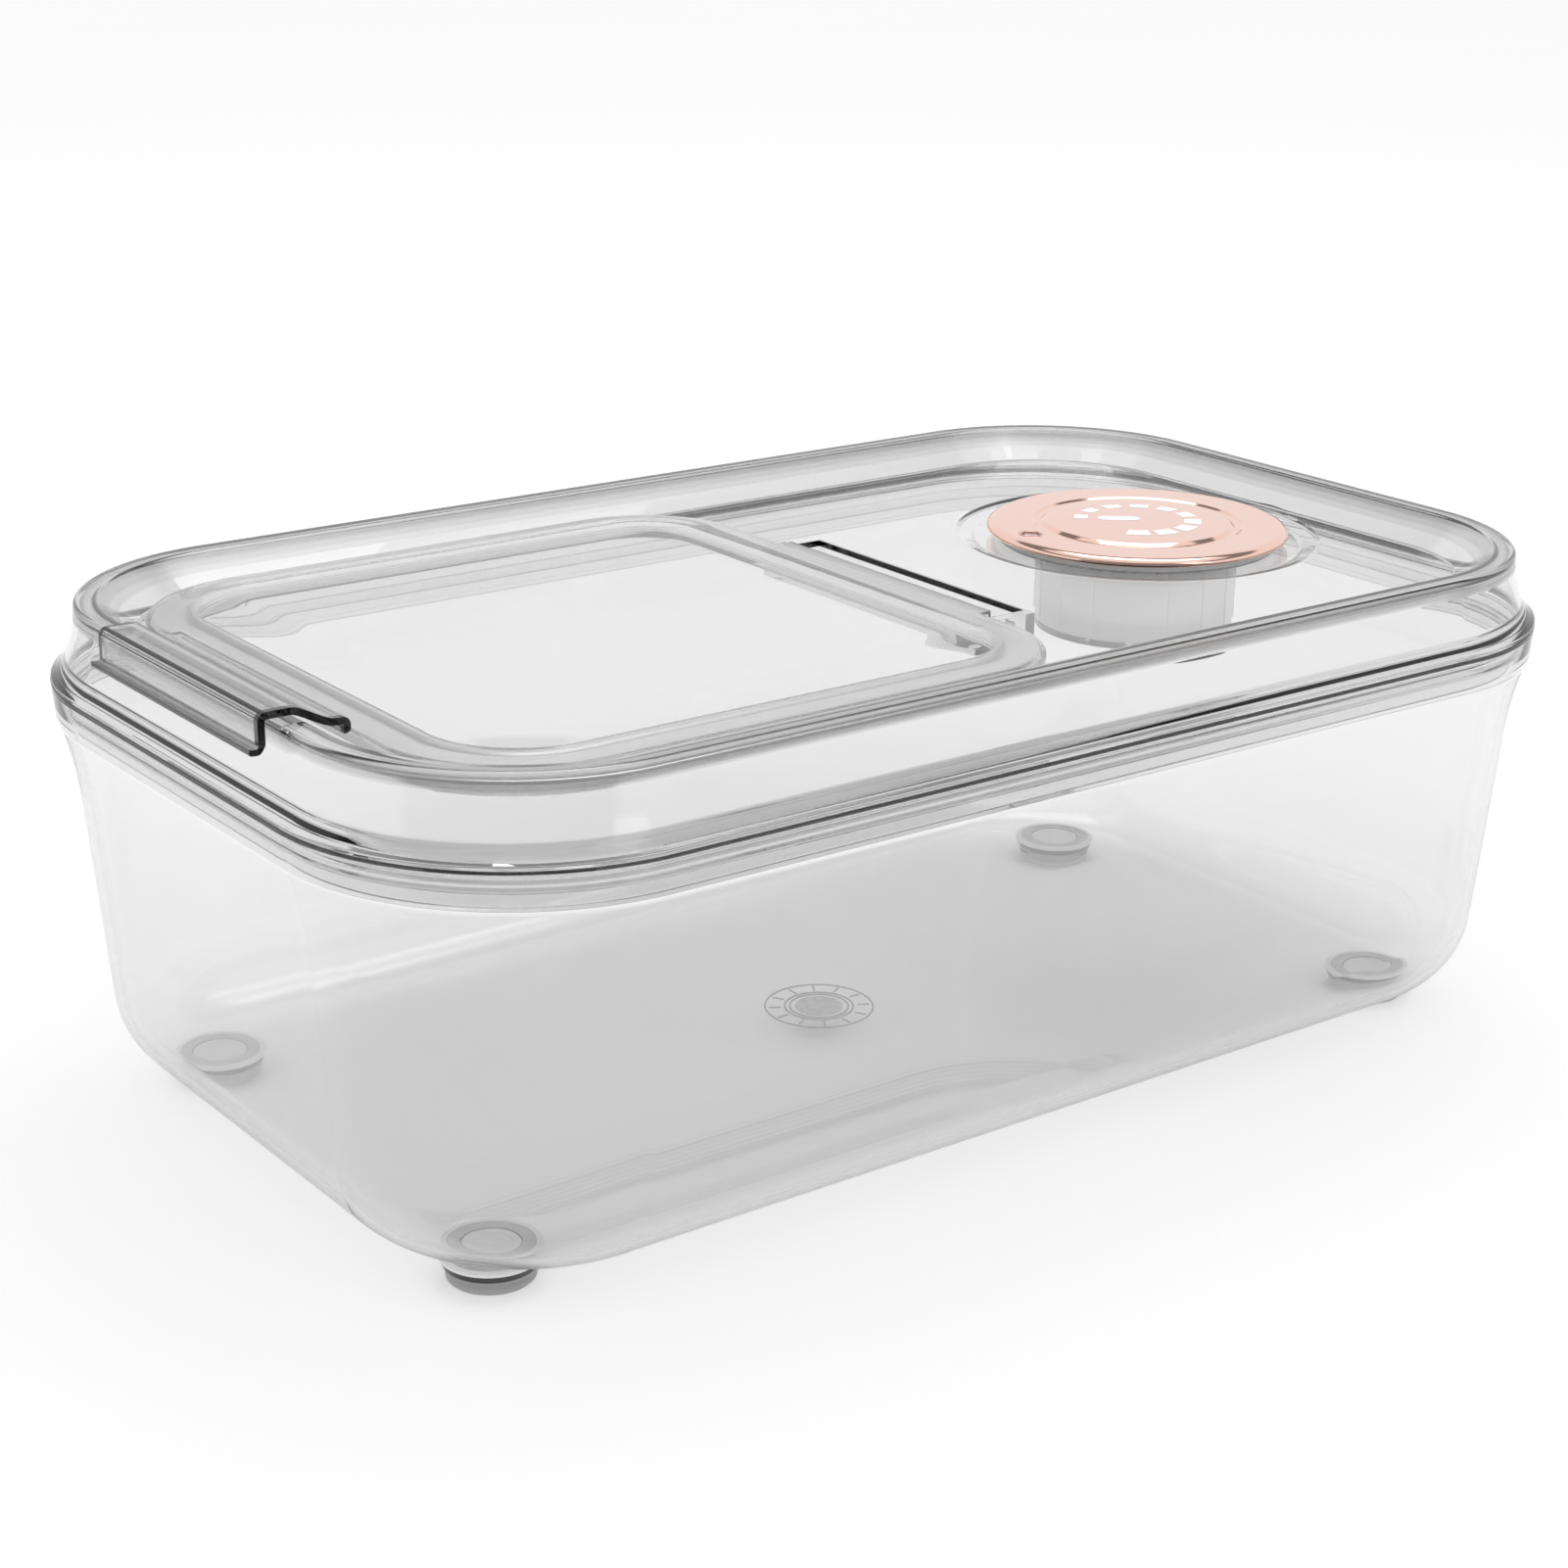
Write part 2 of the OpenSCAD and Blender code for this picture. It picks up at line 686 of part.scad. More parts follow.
module desiccant_refill() {
    color("white")
    at_dial()
    disc(cup_bore - pass_gap - refill_side_gap, cup_bottom, cup_bottom + refill_height);
}

// --- date dial ---
base_plug_r = cup_bore - pass_gap;
base_depth = 4;
base_low = flange_top - base_depth;
base_top = flange_top + 0.8;
base_rim = 1.6;
base_plate = 1.4;
hub_bore = spindle_d / 2 + running_fit;
dial_top = deck_z + dial_rise;
cover_under = dial_top - dial_wall;
cover_skirt_z = cover_under - 0.8;
number_ring_wall = 0.6;
insert_rise = 0.3;
insert_top = dial_top + insert_rise;
insert_low = insert_top - insert_height;
bevel_in = 2;
bevel_down = 1.2;
groove_width = 1.2;
groove_depth = 0.4;
washer_gap = 0.3;
spindle_low = base_low - washer_gap;
washer_wall = 0.8;
head_height = 1.8;
screw_tip_z = cover_under - 0.8;
drive_slot = [3.6, 0.6, 0.9];

// Closes the cup and carries the turning dial on its hub
module dial_base() {
    color("whitesmoke")
    at_dial()
    difference() {
        union() {
            disc(base_plug_r, base_low, flange_top + merge);
            disc(number_ring_bore / 2 - pass_gap, flange_top, base_top);
        }
        ring(base_plug_r - base_rim, spindle_d, base_low - merge, flange_top - base_plate);
        disc(hub_bore, base_low - reach_out, base_top + reach_out);
    }
}

module number_ring() {
    color("white")
    at_dial()
    ring(number_ring_d / 2, number_ring_bore / 2, flange_top, flange_top + number_ring_wall);
}

module dial_cover() {
    bevel_z = dial_top - bevel_down;
    color(rose_gold)
    at_dial() {
        difference() {
            union() {
                disc(dial_d / 2, cover_skirt_z, bevel_z);
                translate([0, 0, bevel_z])
                    cylinder(r1 = dial_d / 2, r2 = dial_d / 2 - bevel_in, h = bevel_down);
            }
            disc(dial_d / 2 - dial_wall, cover_skirt_z - reach_out, cover_under);
            ring(groove_d / 2, groove_d / 2 - groove_width, dial_top - groove_depth, dial_top + reach_out);
            disc(insert_d / 2 + holding_fit, insert_low, dial_top + reach_out);
            rotate([0, 0, -window_turn])
                translate([0, -window_radius, 0])
                    disc(window_d / 2, cover_under - merge, dial_top + reach_out);
        }
        ring(spindle_d / 2, screw_d / 2 + holding_fit, spindle_low, cover_under + merge);
    }
}

// Middle disc, pressed into the cover, with a fine line round its face
module dial_insert() {
    line_inset = 1.4;
    line_width = 0.8;
    line_depth = 0.2;
    color(rose_gold)
    at_dial()
    difference() {
        disc(insert_d / 2, insert_low, insert_top);
        ring(insert_d / 2 - line_inset, insert_d / 2 - line_inset - line_width,
            insert_top - line_depth, insert_top + reach_out);
    }
}

module dial_washer() {
    color(steel)
    at_dial()
    ring(washer_d / 2, screw_d / 2 + holding_fit, spindle_low - washer_wall, spindle_low);
}

module dial_screw() {
    head_top = spindle_low - washer_wall;
    head_low = head_top - head_height;
    color(steel)
    at_dial()
    difference() {
        union() {
            disc(screw_d / 2, head_top - merge, screw_tip_z);
            disc(screw_d, head_low, head_top);
        }
        for (a = [0, 90])
            rotate([0, 0, a])
                box([-drive_slot[0] / 2, -drive_slot[1] / 2, head_low - reach_out],
                    [drive_slot[0] / 2, drive_slot[1] / 2, head_low + drive_slot[2]]);
    }
}

bin_body();
foot_pad(0);  // foot_pad_front_left
foot_pad(1);  // foot_pad_front_right
foot_pad(2);  // foot_pad_rear_left
foot_pad(3);  // foot_pad_rear_right
lid_frame();
lid_gasket();
flip_lid();
flip_gasket();
hinge_pin();
desiccant_cup();
cup_gasket();
desiccant_refill();
vent_cap();
dial_base();
number_ring();
dial_cover();
dial_insert();
dial_washer();
dial_screw();
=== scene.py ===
import math

import bmesh
import bpy
from mathutils import Matrix, Vector


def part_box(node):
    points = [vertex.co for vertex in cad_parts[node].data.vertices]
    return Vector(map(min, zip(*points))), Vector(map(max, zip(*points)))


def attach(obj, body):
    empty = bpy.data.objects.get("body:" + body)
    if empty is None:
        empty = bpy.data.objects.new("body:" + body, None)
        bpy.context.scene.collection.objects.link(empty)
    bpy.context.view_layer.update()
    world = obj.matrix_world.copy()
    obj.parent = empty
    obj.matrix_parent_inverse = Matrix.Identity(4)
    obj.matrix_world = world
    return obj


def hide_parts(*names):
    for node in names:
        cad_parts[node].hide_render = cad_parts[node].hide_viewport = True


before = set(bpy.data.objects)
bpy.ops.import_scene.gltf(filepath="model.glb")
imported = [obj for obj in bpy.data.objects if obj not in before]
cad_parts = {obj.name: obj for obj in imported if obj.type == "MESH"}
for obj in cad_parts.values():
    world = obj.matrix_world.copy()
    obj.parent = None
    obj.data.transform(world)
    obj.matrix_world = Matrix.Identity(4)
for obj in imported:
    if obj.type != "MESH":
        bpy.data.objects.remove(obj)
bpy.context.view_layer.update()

# Clear grain bin with a flip panel and a date dial. Shapes are drawn in
# millimetres, in the frame's own axes, and scaled to metres when they are kept.
MM = 0.001
CORNER_STEPS = 44      # steps round a quarter of a corner
ROUND_STEPS = 6        # steps round a small moulded rounding
LATHE_STEPS = 128      # steps round a turned piece
FOOT_STEPS = 72        # steps round a piece of a foot
RUN_PAST = 30          # how far a cutting shape runs past what it cuts
WELD = 0.0005          # points nearer than this are joined
SPACE = 0.05           # left between pieces that lie side by side
AXIS_HOLE = 0.3        # radius at which the section of a foot's middle piece starts


# --- sizes, from the frame and as in the part's source ---
def node_box(node):
    low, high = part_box(node)
    return low / MM, high / MM


TUB_LOW, TUB_HIGH = node_box("bin_body")
LID_LOW, LID_HIGH = node_box("lid_frame")
COVER_LOW, COVER_HIGH = node_box("dial_cover")
PAD_LOW, PAD_HIGH = node_box("foot_pad_front_right")
PIN_LOW, PIN_HIGH = node_box("hinge_pin")

WALL = 2.2
HALF_X = LID_HIGH.x
HALF_Y = LID_HIGH.y
CORNER = 66
SEAM_Z = TUB_HIGH.z
RIM_Z = LID_HIGH.z
DECK_Z = RIM_Z - 8.5
FLOOR_Z = TUB_LOW.z + 3.0          # underside of the tub's floor
FLOOR_TOP_Z = FLOOR_Z + WALL
FLOOR_ROUNDING = 26
WALL_LEAN = 0.0893
COLLAR_FOOT_Z = SEAM_Z - 9.6
FLARE_HEIGHT = 22
FLARE_FOOT_Z = COLLAR_FOOT_Z - FLARE_HEIGHT
FLARE_REACH = 2.74
COLLAR_FOOT_IN = 1.1
COLLAR_TOP_IN = 0.4
COLLAR_STEP = 0.3
WALL_TOP_IN = COLLAR_FOOT_IN + COLLAR_STEP + FLARE_REACH + WALL_LEAN * FLARE_HEIGHT

FOOT = Vector(((PAD_LOW.x + PAD_HIGH.x) / 2, (PAD_LOW.y + PAD_HIGH.y) / 2))
PAD_RADIUS = (PAD_HIGH.x - PAD_LOW.x) / 2
WELL_Z = TUB_LOW.z
WELL_RADIUS = 13.4
WELL_TOP_Z = FLOOR_Z - 0.2
BAND_IN, BAND_OUT = 7.9, 11.2      # the grey band round a foot's pale plug
BAND_TOP_Z = FLOOR_Z - 0.22
PLUG_TOP_Z = FLOOR_Z - 0.3
LIP_TOP_Z = WELL_Z + 1.8
WELL_FOOT_Z = LIP_TOP_Z + SPACE

RIM_IN = 7.2
RIM_WIDTH = 6.4
DECK_IN = 25
BEAD_Z = RIM_Z - 4
LID_WALL_HEIGHT = 12.5
LID_WALL_SPREAD = 3.6
SKIRT_IN = 4.3
SKIRT_WALL = 2
SKIRT_TAPER = 0.7
SEAM_GAP = 0.40        # air between the lid's flange and the tub, so that the seam reads
FLANGE_IN = 0.5
SEAL_TOP_Z = SEAM_Z - 2.4
SEAL_LOW_Z = SEAL_TOP_Z - 3.6
SEAL_BITE = 0.9        # depth of the seal's groove in the skirt

PANEL_GAP = 1
PANEL_X = HALF_X - DECK_IN - PANEL_GAP
PANEL_FRONT = -(HALF_Y - DECK_IN - PANEL_GAP)
PANEL_REAR = 15.5
PANEL_LOW_Z = DECK_Z + 0.5
PANEL_TOP_Z = DECK_Z + 6.6
PANEL_WALL = 2
PANEL_CROWN = 3.1
PANEL_EDGE_Z = PANEL_TOP_Z - PANEL_CROWN
PANEL_EDGE = 2.3
CROWN_RUN = 27
MOUTH_IN = 13
PANEL_SKIRT_IN = MOUTH_IN + 1.2
TAB_HALF = 43.5
TAB_WALL = 1.9
TAB_RISE = 3           # how far the tab stands over the rim
TAB_REACH = 3.1        # and how far it reaches out past it
TAB_ROOT_DROP = 4.8
TAB_FOOT_DROP = 5
NOTCH_DEPTH = 1.2

HINGE = Vector((0, (PIN_LOW.y + PIN_HIGH.y) / 2, (PIN_LOW.z + PIN_HIGH.z) / 2))
PIN_RADIUS = (PIN_HIGH.z - PIN_LOW.z) / 2
BARREL_RADIUS = 3
POCKET_HALF = 46.5
POCKET_FRONT = PANEL_REAR + 2
POCKET_REAR = PANEL_REAR + 18.5
POCKET_Z = DECK_Z - 7.6
BOSS_LENGTH = 6

DIAL = Vector((0, (COVER_LOW.y + COVER_HIGH.y) / 2))
DIAL_RADIUS = (COVER_HIGH.x - COVER_LOW.x) / 2
DIAL_TOP_Z = DECK_Z + 3.4
DISH_RADIUS = 54.3
DISH_SLOPE = 5
DISH_Z = DECK_Z - 1.8
HOLE_RADIUS = 31.6

CORNER_X, CORNER_Y = HALF_X - CORNER, HALF_Y - CORNER
TUB_CORNERS = [(CORNER_X, -CORNER_Y, CORNER), (CORNER_X, CORNER_Y, CORNER),
               (-CORNER_X, CORNER_Y, CORNER), (-CORNER_X, -CORNER_Y, CORNER)]
PANEL_FRONT_R = CORNER - DECK_IN - PANEL_GAP
PANEL_REAR_R = 32
PANEL_CORNERS = [
    (PANEL_X - PANEL_FRONT_R, PANEL_FRONT + PANEL_FRONT_R, PANEL_FRONT_R),
    (PANEL_X - PANEL_REAR_R, PANEL_REAR - PANEL_REAR_R, PANEL_REAR_R),
    (PANEL_REAR_R - PANEL_X, PANEL_REAR - PANEL_REAR_R, PANEL_REAR_R),
    (PANEL_FRONT_R - PANEL_X, PANEL_FRONT + PANEL_FRONT_R, PANEL_FRONT_R)]


# --- drawing helpers ---
def rounded(points, steps=ROUND_STEPS):
    """A path of (x, y, radius) with each corner that has a radius turned into an arc."""
    path = []
    for i, (x, y, r) in enumerate(points):
        if r == 0 or i in (0, len(points) - 1):
            path.append((x, y))
            continue
        here = Vector((x, y))
        a = (Vector(points[i - 1][:2]) - here).normalized()
        b = (Vector(points[i + 1][:2]) - here).normalized()
        half = a.angle(b) / 2
        middle = here + (a + b).normalized() * (r / math.sin(half))
        start = here + a * (r / math.tan(half)) - middle
        end = here + b * (r / math.tan(half)) - middle
        turn = start.angle_signed(end)
        count = max(2, round(steps * abs(turn) / (math.pi / 2)))
        for k in range(count + 1):
            t = -turn * k / count
            path.append((middle.x + start.x * math.cos(t) - start.y * math.sin(t),
                         middle.y + start.x * math.sin(t) + start.y * math.cos(t)))
    return path


def corner_stations(corners, grow=0):
    """Points round a rounded rectangle, counter-clockwise from the front right, with outward normals."""
    stations = []
    for k, (x, y, r) in enumerate(corners):
        for i in range(CORNER_STEPS + 1):
            a = math.radians(90 * k - 90 + 90 * i / CORNER_STEPS)
            n = Vector((math.cos(a), math.sin(a)))
            stations.append((Vector((x, y)) + n * (r + grow), n))
    return stations


def in_scene(thing):
    bpy.context.scene.collection.objects.link(thing)
    return thing


def mesh_object(name, points, faces):
    mesh = bpy.data.meshes.new(name)
    mesh.from_pydata([tuple(p) for p in points], [], faces)
    bm = bmesh.new()
    bm.from_mesh(mesh)
    bmesh.ops.recalc_face_normals(bm, faces=bm.faces)
    bm.to_mesh(mesh)
    bm.free()
    return in_scene(bpy.data.objects.new(name, mesh))


def carried(name, rows, closed):
    """Quads over rows of points that go round; an open section gets a flat face at each end."""
    count, wide = len(rows), len(rows[0])
    points = [p for row in rows for p in row]
    faces = []
    for i in range(count):
        j = (i + 1) % count
        for k in range(wide if closed else wide - 1):
            m = (k + 1) % wide
            faces.append((i * wide + k, j * wide + k, j * wide + m, i * wide + m))
    if not closed:
        faces.append([i * wide for i in range(count)])
        faces.append([i * wide + wide - 1 for i in range(count)])
    return mesh_object(name, points, faces)


def swept(name, section, corners, closed=False):
    """A section of (distance outside the outline, height), carried round a rounded rectangle."""
    rows = [[(p.x + n.x * d, p.y + n.y * d, z) for d, z in section]
            for p, n in corner_stations(corners)]
    return carried(name, rows, closed)


def turned(name, section, centre=(0, 0), closed=False, steps=LATHE_STEPS):
    """A section of (radius, height) turned about an upright axis."""
    rows = []
    for i in range(steps):
        a = 2 * math.pi * i / steps
        rows.append([(centre[0] + r * math.cos(a), centre[1] + r * math.sin(a), z) for r, z in section])
    return carried(name, rows, closed)


def prism(name, outline, place):
    """A flat outline drawn out between two levels: place(point, 0) and place(point, 1)."""
    count = len(outline)
    points = [place(p, end) for end in (0, 1) for p in outline]
    faces = [(i, (i + 1) % count, (i + 1) % count + count, i + count) for i in range(count)]
    faces += [list(range(count)), list(range(count, 2 * count))]
    return mesh_object(name, points, faces)


def upright(name, outline, z0, z1):
    return prism(name, outline, lambda p, end: (p[0], p[1], z1 if end else z0))


def along_x(name, outline, x0, x1):
    return prism(name, outline, lambda p, end: (x1 if end else x0, p[0], p[1]))


def box(name, low, high):
    outline = [(low[0], low[1]), (high[0], low[1]), (high[0], high[1]), (low[0], high[1])]
    return upright(name, outline, low[2], high[2])


def circle(radius, steps=48, centre=(0, 0)):
    return [(centre[0] + radius * math.cos(2 * math.pi * i / steps),
             centre[1] + radius * math.sin(2 * math.pi * i / steps)) for i in range(steps)]


def combine(target, operation, *others):
    """Joins the other shapes to the target, or cuts them out of it, and deletes them."""
    for other in others:
        cut = target.modifiers.new("cut", "BOOLEAN")
        cut.operation = operation
        cut.solver = "EXACT"
        cut.object = other
    bpy.context.view_layer.update()
    graph = bpy.context.evaluated_depsgraph_get()
    mesh = bpy.data.meshes.new_from_object(target.evaluated_get(graph))
    target.modifiers.clear()
    target.data = mesh
    for other in others:
        bpy.data.objects.remove(other)
    return target


def keep(piece, body, material, replaces=(), sharp=32):
    """Scales a drawn piece to metres, smooths it up to the sharp angle and ties it to its body."""
    mesh = piece.data
    bm = bmesh.new()
    bm.from_mesh(mesh)
    bmesh.ops.remove_doubles(bm, verts=bm.verts, dist=WELD)
    bmesh.ops.dissolve_degenerate(bm, edges=bm.edges, dist=WELD)
    bmesh.ops.scale(bm, vec=(MM, MM, MM), verts=bm.verts)
    bm.to_mesh(mesh)
    bm.free()
    mesh.materials.clear()
    mesh.materials.append(material)
    mesh.shade_smooth()
    mesh.set_sharp_from_angle(angle=math.radians(sharp))
    weigh = piece.modifiers.new("even_shading", "WEIGHTED_NORMAL")
    weigh.keep_sharp = True
    weigh.weight = 100
    bpy.context.view_layer.update()
    graph = bpy.context.evaluated_depsgraph_get()
    piece.data = bpy.data.meshes.new_from_object(piece.evaluated_get(graph))
    piece.modifiers.clear()
    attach(piece, body)
    if replaces:
        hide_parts(*replaces)
    return piece


# --- materials ---
TONE_SCALE = 9.0       # size of the slow change of tone in clear plastic
TONE_SPREAD = 0.985    # its darker tone, as a share of the lighter
TONE_LOW, TONE_HIGH = 0.3, 0.7
WAVE = 0.00002         # height of a moulding's slow waves, in metres
WAVE_SCALE = 9
BAND_EDGE = 0.0004     # over this height a band of tint begins and ends, in metres
PLASTIC_IOR = 1.49
ROUGH_SPREAD = 0.15


def grey(tone):
    return (tone, tone, tone)


def node_material(name):
    material = bpy.data.materials.new(name)
    material.use_nodes = True
    tree = material.node_tree
    tree.nodes.clear()
    out = tree.nodes.new("ShaderNodeOutputMaterial")
    return material, tree, out


def add(tree, kind, inputs=None, **settings):
    node = tree.nodes.new(kind)
    for key, value in settings.items():
        setattr(node, key, value)
    for key, value in (inputs or {}).items():
        if isinstance(value, bpy.types.NodeSocket):
            tree.links.new(value, node.inputs[key])
        else:
            node.inputs[key].default_value = value
    return node


def object_noise(tree, scale, detail=3.0):
    where = add(tree, "ShaderNodeTexCoord").outputs["Object"]
    return add(tree, "ShaderNodeTexNoise",
               {"Vector": where, "Scale": scale, "Detail": detail}).outputs["Fac"]


def two_tones(tree, factor, dark, light):
    ramp = add(tree, "ShaderNodeValToRGB", {"Fac": factor})
    ramp.color_ramp.elements[0].color = (*dark, 1)
    ramp.color_ramp.elements[1].color = (*light, 1)
    ramp.color_ramp.elements[0].position = TONE_LOW
    ramp.color_ramp.elements[1].position = TONE_HIGH
    return ramp.outputs["Color"]


def either_ray(tree, kind, other_kind):
    """The node of the light's path, and 1 for a ray of either kind."""
    path = add(tree, "ShaderNodeLightPath")
    either = add(tree, "ShaderNodeMath", {0: path.outputs[kind], 1: path.outputs[other_kind]},
                 operation="MAXIMUM")
    return path, either.outputs[0]


def clear_plastic(name, tint, light_passed, absorb, roughness=0.0, band=None, frost=0.0):
    """Moulded clear plastic: bends what is seen through it, darkens with its thickness,
    has the slow waves of a moulding in its gloss, and lets soft light through. A band
    (low, high, shade, haze) has a tint and a roughness of its own, and frost is a milky
    share."""
    material, tree, out = node_material(name)
    tone = two_tones(tree, object_noise(tree, TONE_SCALE), [t * TONE_SPREAD for t in tint], tint)
    if band:
        low, high, shade, haze = band
        place = add(tree, "ShaderNodeTexCoord").outputs["Object"]
        level = add(tree, "ShaderNodeSeparateXYZ", {0: place}).outputs["Z"]
        over_foot, over_top = (
            add(tree, "ShaderNodeMapRange", {"Value": level, "From Min": edge, "From Max": edge + BAND_EDGE})
            for edge in (low, high))
        share = add(tree, "ShaderNodeMath", {0: over_foot.outputs[0], 1: over_top.outputs[0]},
                    operation="SUBTRACT").outputs[0]
        tone = add(tree, "ShaderNodeMix", {0: share, 6: tone, 7: (*shade, 1)}, data_type="RGBA").outputs[2]
        if haze:
            roughness = add(tree, "ShaderNodeMath", {0: share, 1: haze}, operation="MULTIPLY").outputs[0]
    waves = object_noise(tree, WAVE_SCALE, detail=1.5)
    bump = add(tree, "ShaderNodeBump", {"Height": waves, "Strength": 1.0, "Distance": WAVE})
    plastic = add(tree, "ShaderNodeBsdfPrincipled", {
        "Base Color": tone, "Roughness": roughness, "IOR": PLASTIC_IOR,
        "Transmission Weight": 1.0, "Normal": bump.outputs["Normal"]})
    shown = plastic.outputs[0]
    if frost:
        white = add(tree, "ShaderNodeBsdfDiffuse", {"Color": (*grey(0.9), 1)})
        shown = add(tree, "ShaderNodeMixShader", {0: frost, 1: shown, 2: white.outputs[0]}).outputs[0]
    passing = add(tree, "ShaderNodeBsdfTransparent", {"Color": (*light_passed, 1)})
    path, soft = either_ray(tree, "Is Shadow Ray", "Is Diffuse Ray")
    mix = add(tree, "ShaderNodeMixShader", {0: soft, 1: shown, 2: passing.outputs[0]})
    tree.links.new(mix.outputs[0], out.inputs["Surface"])
    depth = add(tree, "ShaderNodeVolumeAbsorption", {"Color": (*grey(0.25), 1), "Density": absorb})
    tree.links.new(depth.outputs[0], out.inputs["Volume"])
    return material


def coated(name, dark, light, roughness, metallic=0.0, noise_scale=60, bump=0.00001, bump_scale=900):
    """An opaque moulded, plated or metal surface with a fine grain."""
    material, tree, out = node_material(name)
    tone = two_tones(tree, object_noise(tree, noise_scale), dark, light)
    grain = object_noise(tree, bump_scale, detail=2)
    bumped = add(tree, "ShaderNodeBump", {"Height": grain, "Strength": 1.0, "Distance": bump})
    even = add(tree, "ShaderNodeMapRange", {
        "Value": object_noise(tree, noise_scale * 0.5),
        "To Min": roughness * (1 - ROUGH_SPREAD), "To Max": roughness * (1 + ROUGH_SPREAD)})
    surface = add(tree, "ShaderNodeBsdfPrincipled", {
        "Base Color": tone, "Metallic": metallic, "Roughness": even.outputs[0],
        "Normal": bumped.outputs["Normal"]})
    tree.links.new(surface.outputs[0], out.inputs["Surface"])
    return material


LIGHT_THROUGH = grey(0.89)
PLATING_GRAIN = 0.0000008
clear = clear_plastic("clear_plastic", grey(0.95), LIGHT_THROUGH, 24)
tub_plastic = clear_plastic("tub_plastic", grey(0.955), LIGHT_THROUGH, 24,
                            band=(COLLAR_FOOT_Z * MM, SEAM_Z * MM, grey(0.87), 0.0))
# The lid's band round the rim bead is tinted darker, all round: painted shade for the dark that the bead's
# curve shows; the band also has a little haze
lid_plastic = clear_plastic("lid_plastic", grey(0.87), grey(0.915), 10,
                            band=((BEAD_Z - 0.8) * MM, (RIM_Z - 0.3) * MM, grey(0.65), 0.15))
# The panel's edge band is tinted lighter than the panel: painted light over the dark line at the edge; the
# band also has haze
panel_plastic = clear_plastic("panel_plastic", grey(0.85), grey(0.915), 6,
                              band=((PANEL_LOW_Z - 1) * MM, (PANEL_EDGE_Z - 0.8) * MM, grey(0.96), 0.3))
# Painted shade: the tab's finger lip is tinted dark
tab_lip_shade_paint = clear_plastic("tab_lip_shade_paint", grey(0.42), grey(0.7), 110)
tab_plastic = clear_plastic("tab_plastic", grey(0.82), grey(0.8), 70)
# Painted shade: the tab's cut ends are tinted dark
tab_end_shade_paint = clear_plastic("tab_end_shade_paint", grey(0.16), grey(0.6), 200)
cup_plastic = clear_plastic("cup_plastic", grey(0.97), grey(1.0), 5, roughness=0.12, frost=0.4)
well_plastic = coated("well_plastic", grey(0.86), grey(0.92), 0.35)
well_band = coated("well_band", grey(0.50), grey(0.62), 0.4, noise_scale=240)
pad_plug = coated("foot_rubber_plug", grey(0.80), grey(0.88), 0.45, noise_scale=180)
silicone = clear_plastic("seal_silicone", grey(0.97), grey(0.93), 8, roughness=0.02)
# Painted shadow: a dark ring that fills the seam's air gap, where there is only shade
seam_shadow_paint = clear_plastic("seam_painted_shadow", grey(0.10), grey(0.7), 400)
pad_rubber = clear_plastic("foot_rubber", grey(0.80), grey(0.8), 22, roughness=0.12)
# Painted shade: the pad's dark upper lip stands for the shadow gap at the top of the pad
foot_lip_shade_paint = clear_plastic("foot_lip_painted_shade", grey(0.22), grey(0.5), 200, roughness=0.08)
red_print = coated("red_print", (0.45, 0.08, 0.05), (0.55, 0.11, 0.07), 0.5)
vent_plastic = clear_plastic("vent_plastic", grey(0.80), grey(0.7), 120, roughness=0.08)
# Painted shade: the mould mark's clear relief is drawn as opaque grey lines and a grey disc; the disc's fine
# noise is grain
relief = coated("mark_lines_painted_shade", grey(0.34), grey(0.42), 0.5)
mark_disc_painted_shade = coated("mark_disc_painted_shade", grey(0.50), grey(0.72), 0.5, noise_scale=500)
rose_gold = coated("rose_gold_plating", (0.925, 0.62, 0.53), (0.94, 0.64, 0.55), 0.07, metallic=1.0,
                   noise_scale=25, bump=PLATING_GRAIN)
copper = coated("window_copper", (0.57, 0.31, 0.24), (0.58, 0.32, 0.25), 0.07, metallic=1.0,
                noise_scale=25, bump=PLATING_GRAIN)
white_plastic = coated("white_plastic", grey(0.82), grey(0.88), 0.42)
white_print = coated("white_print", grey(0.93), grey(0.97), 0.5)
steel = coated("drawn_steel", (0.55, 0.56, 0.58), (0.68, 0.69, 0.71), 0.3, metallic=1.0)
refill_cloth = coated("refill_nonwoven", (0.93, 0.93, 0.92), (0.98, 0.98, 0.97), 0.9,
                      noise_scale=700, bump=0.00015, bump_scale=1800)


# --- tub ---
FLOOR_FLAT = 4         # flat floor outside the sheet's end, before it turns up


def wall_in(z):
    """How far the tub's straight wall lies inside the seam at a height."""
    return WALL_TOP_IN + WALL_LEAN * (FLARE_FOOT_Z - z)


def flare(offset=0, steps=14):
    """The tub's wall where it curves out under the collar."""
    points = []
    for i in range(steps + 1):
        t = i / steps
        points.append((-WALL_TOP_IN + WALL_LEAN * FLARE_HEIGHT * t + FLARE_REACH * t * t - offset,
                       FLARE_FOOT_Z + FLARE_HEIGHT * t, 0))
    return points


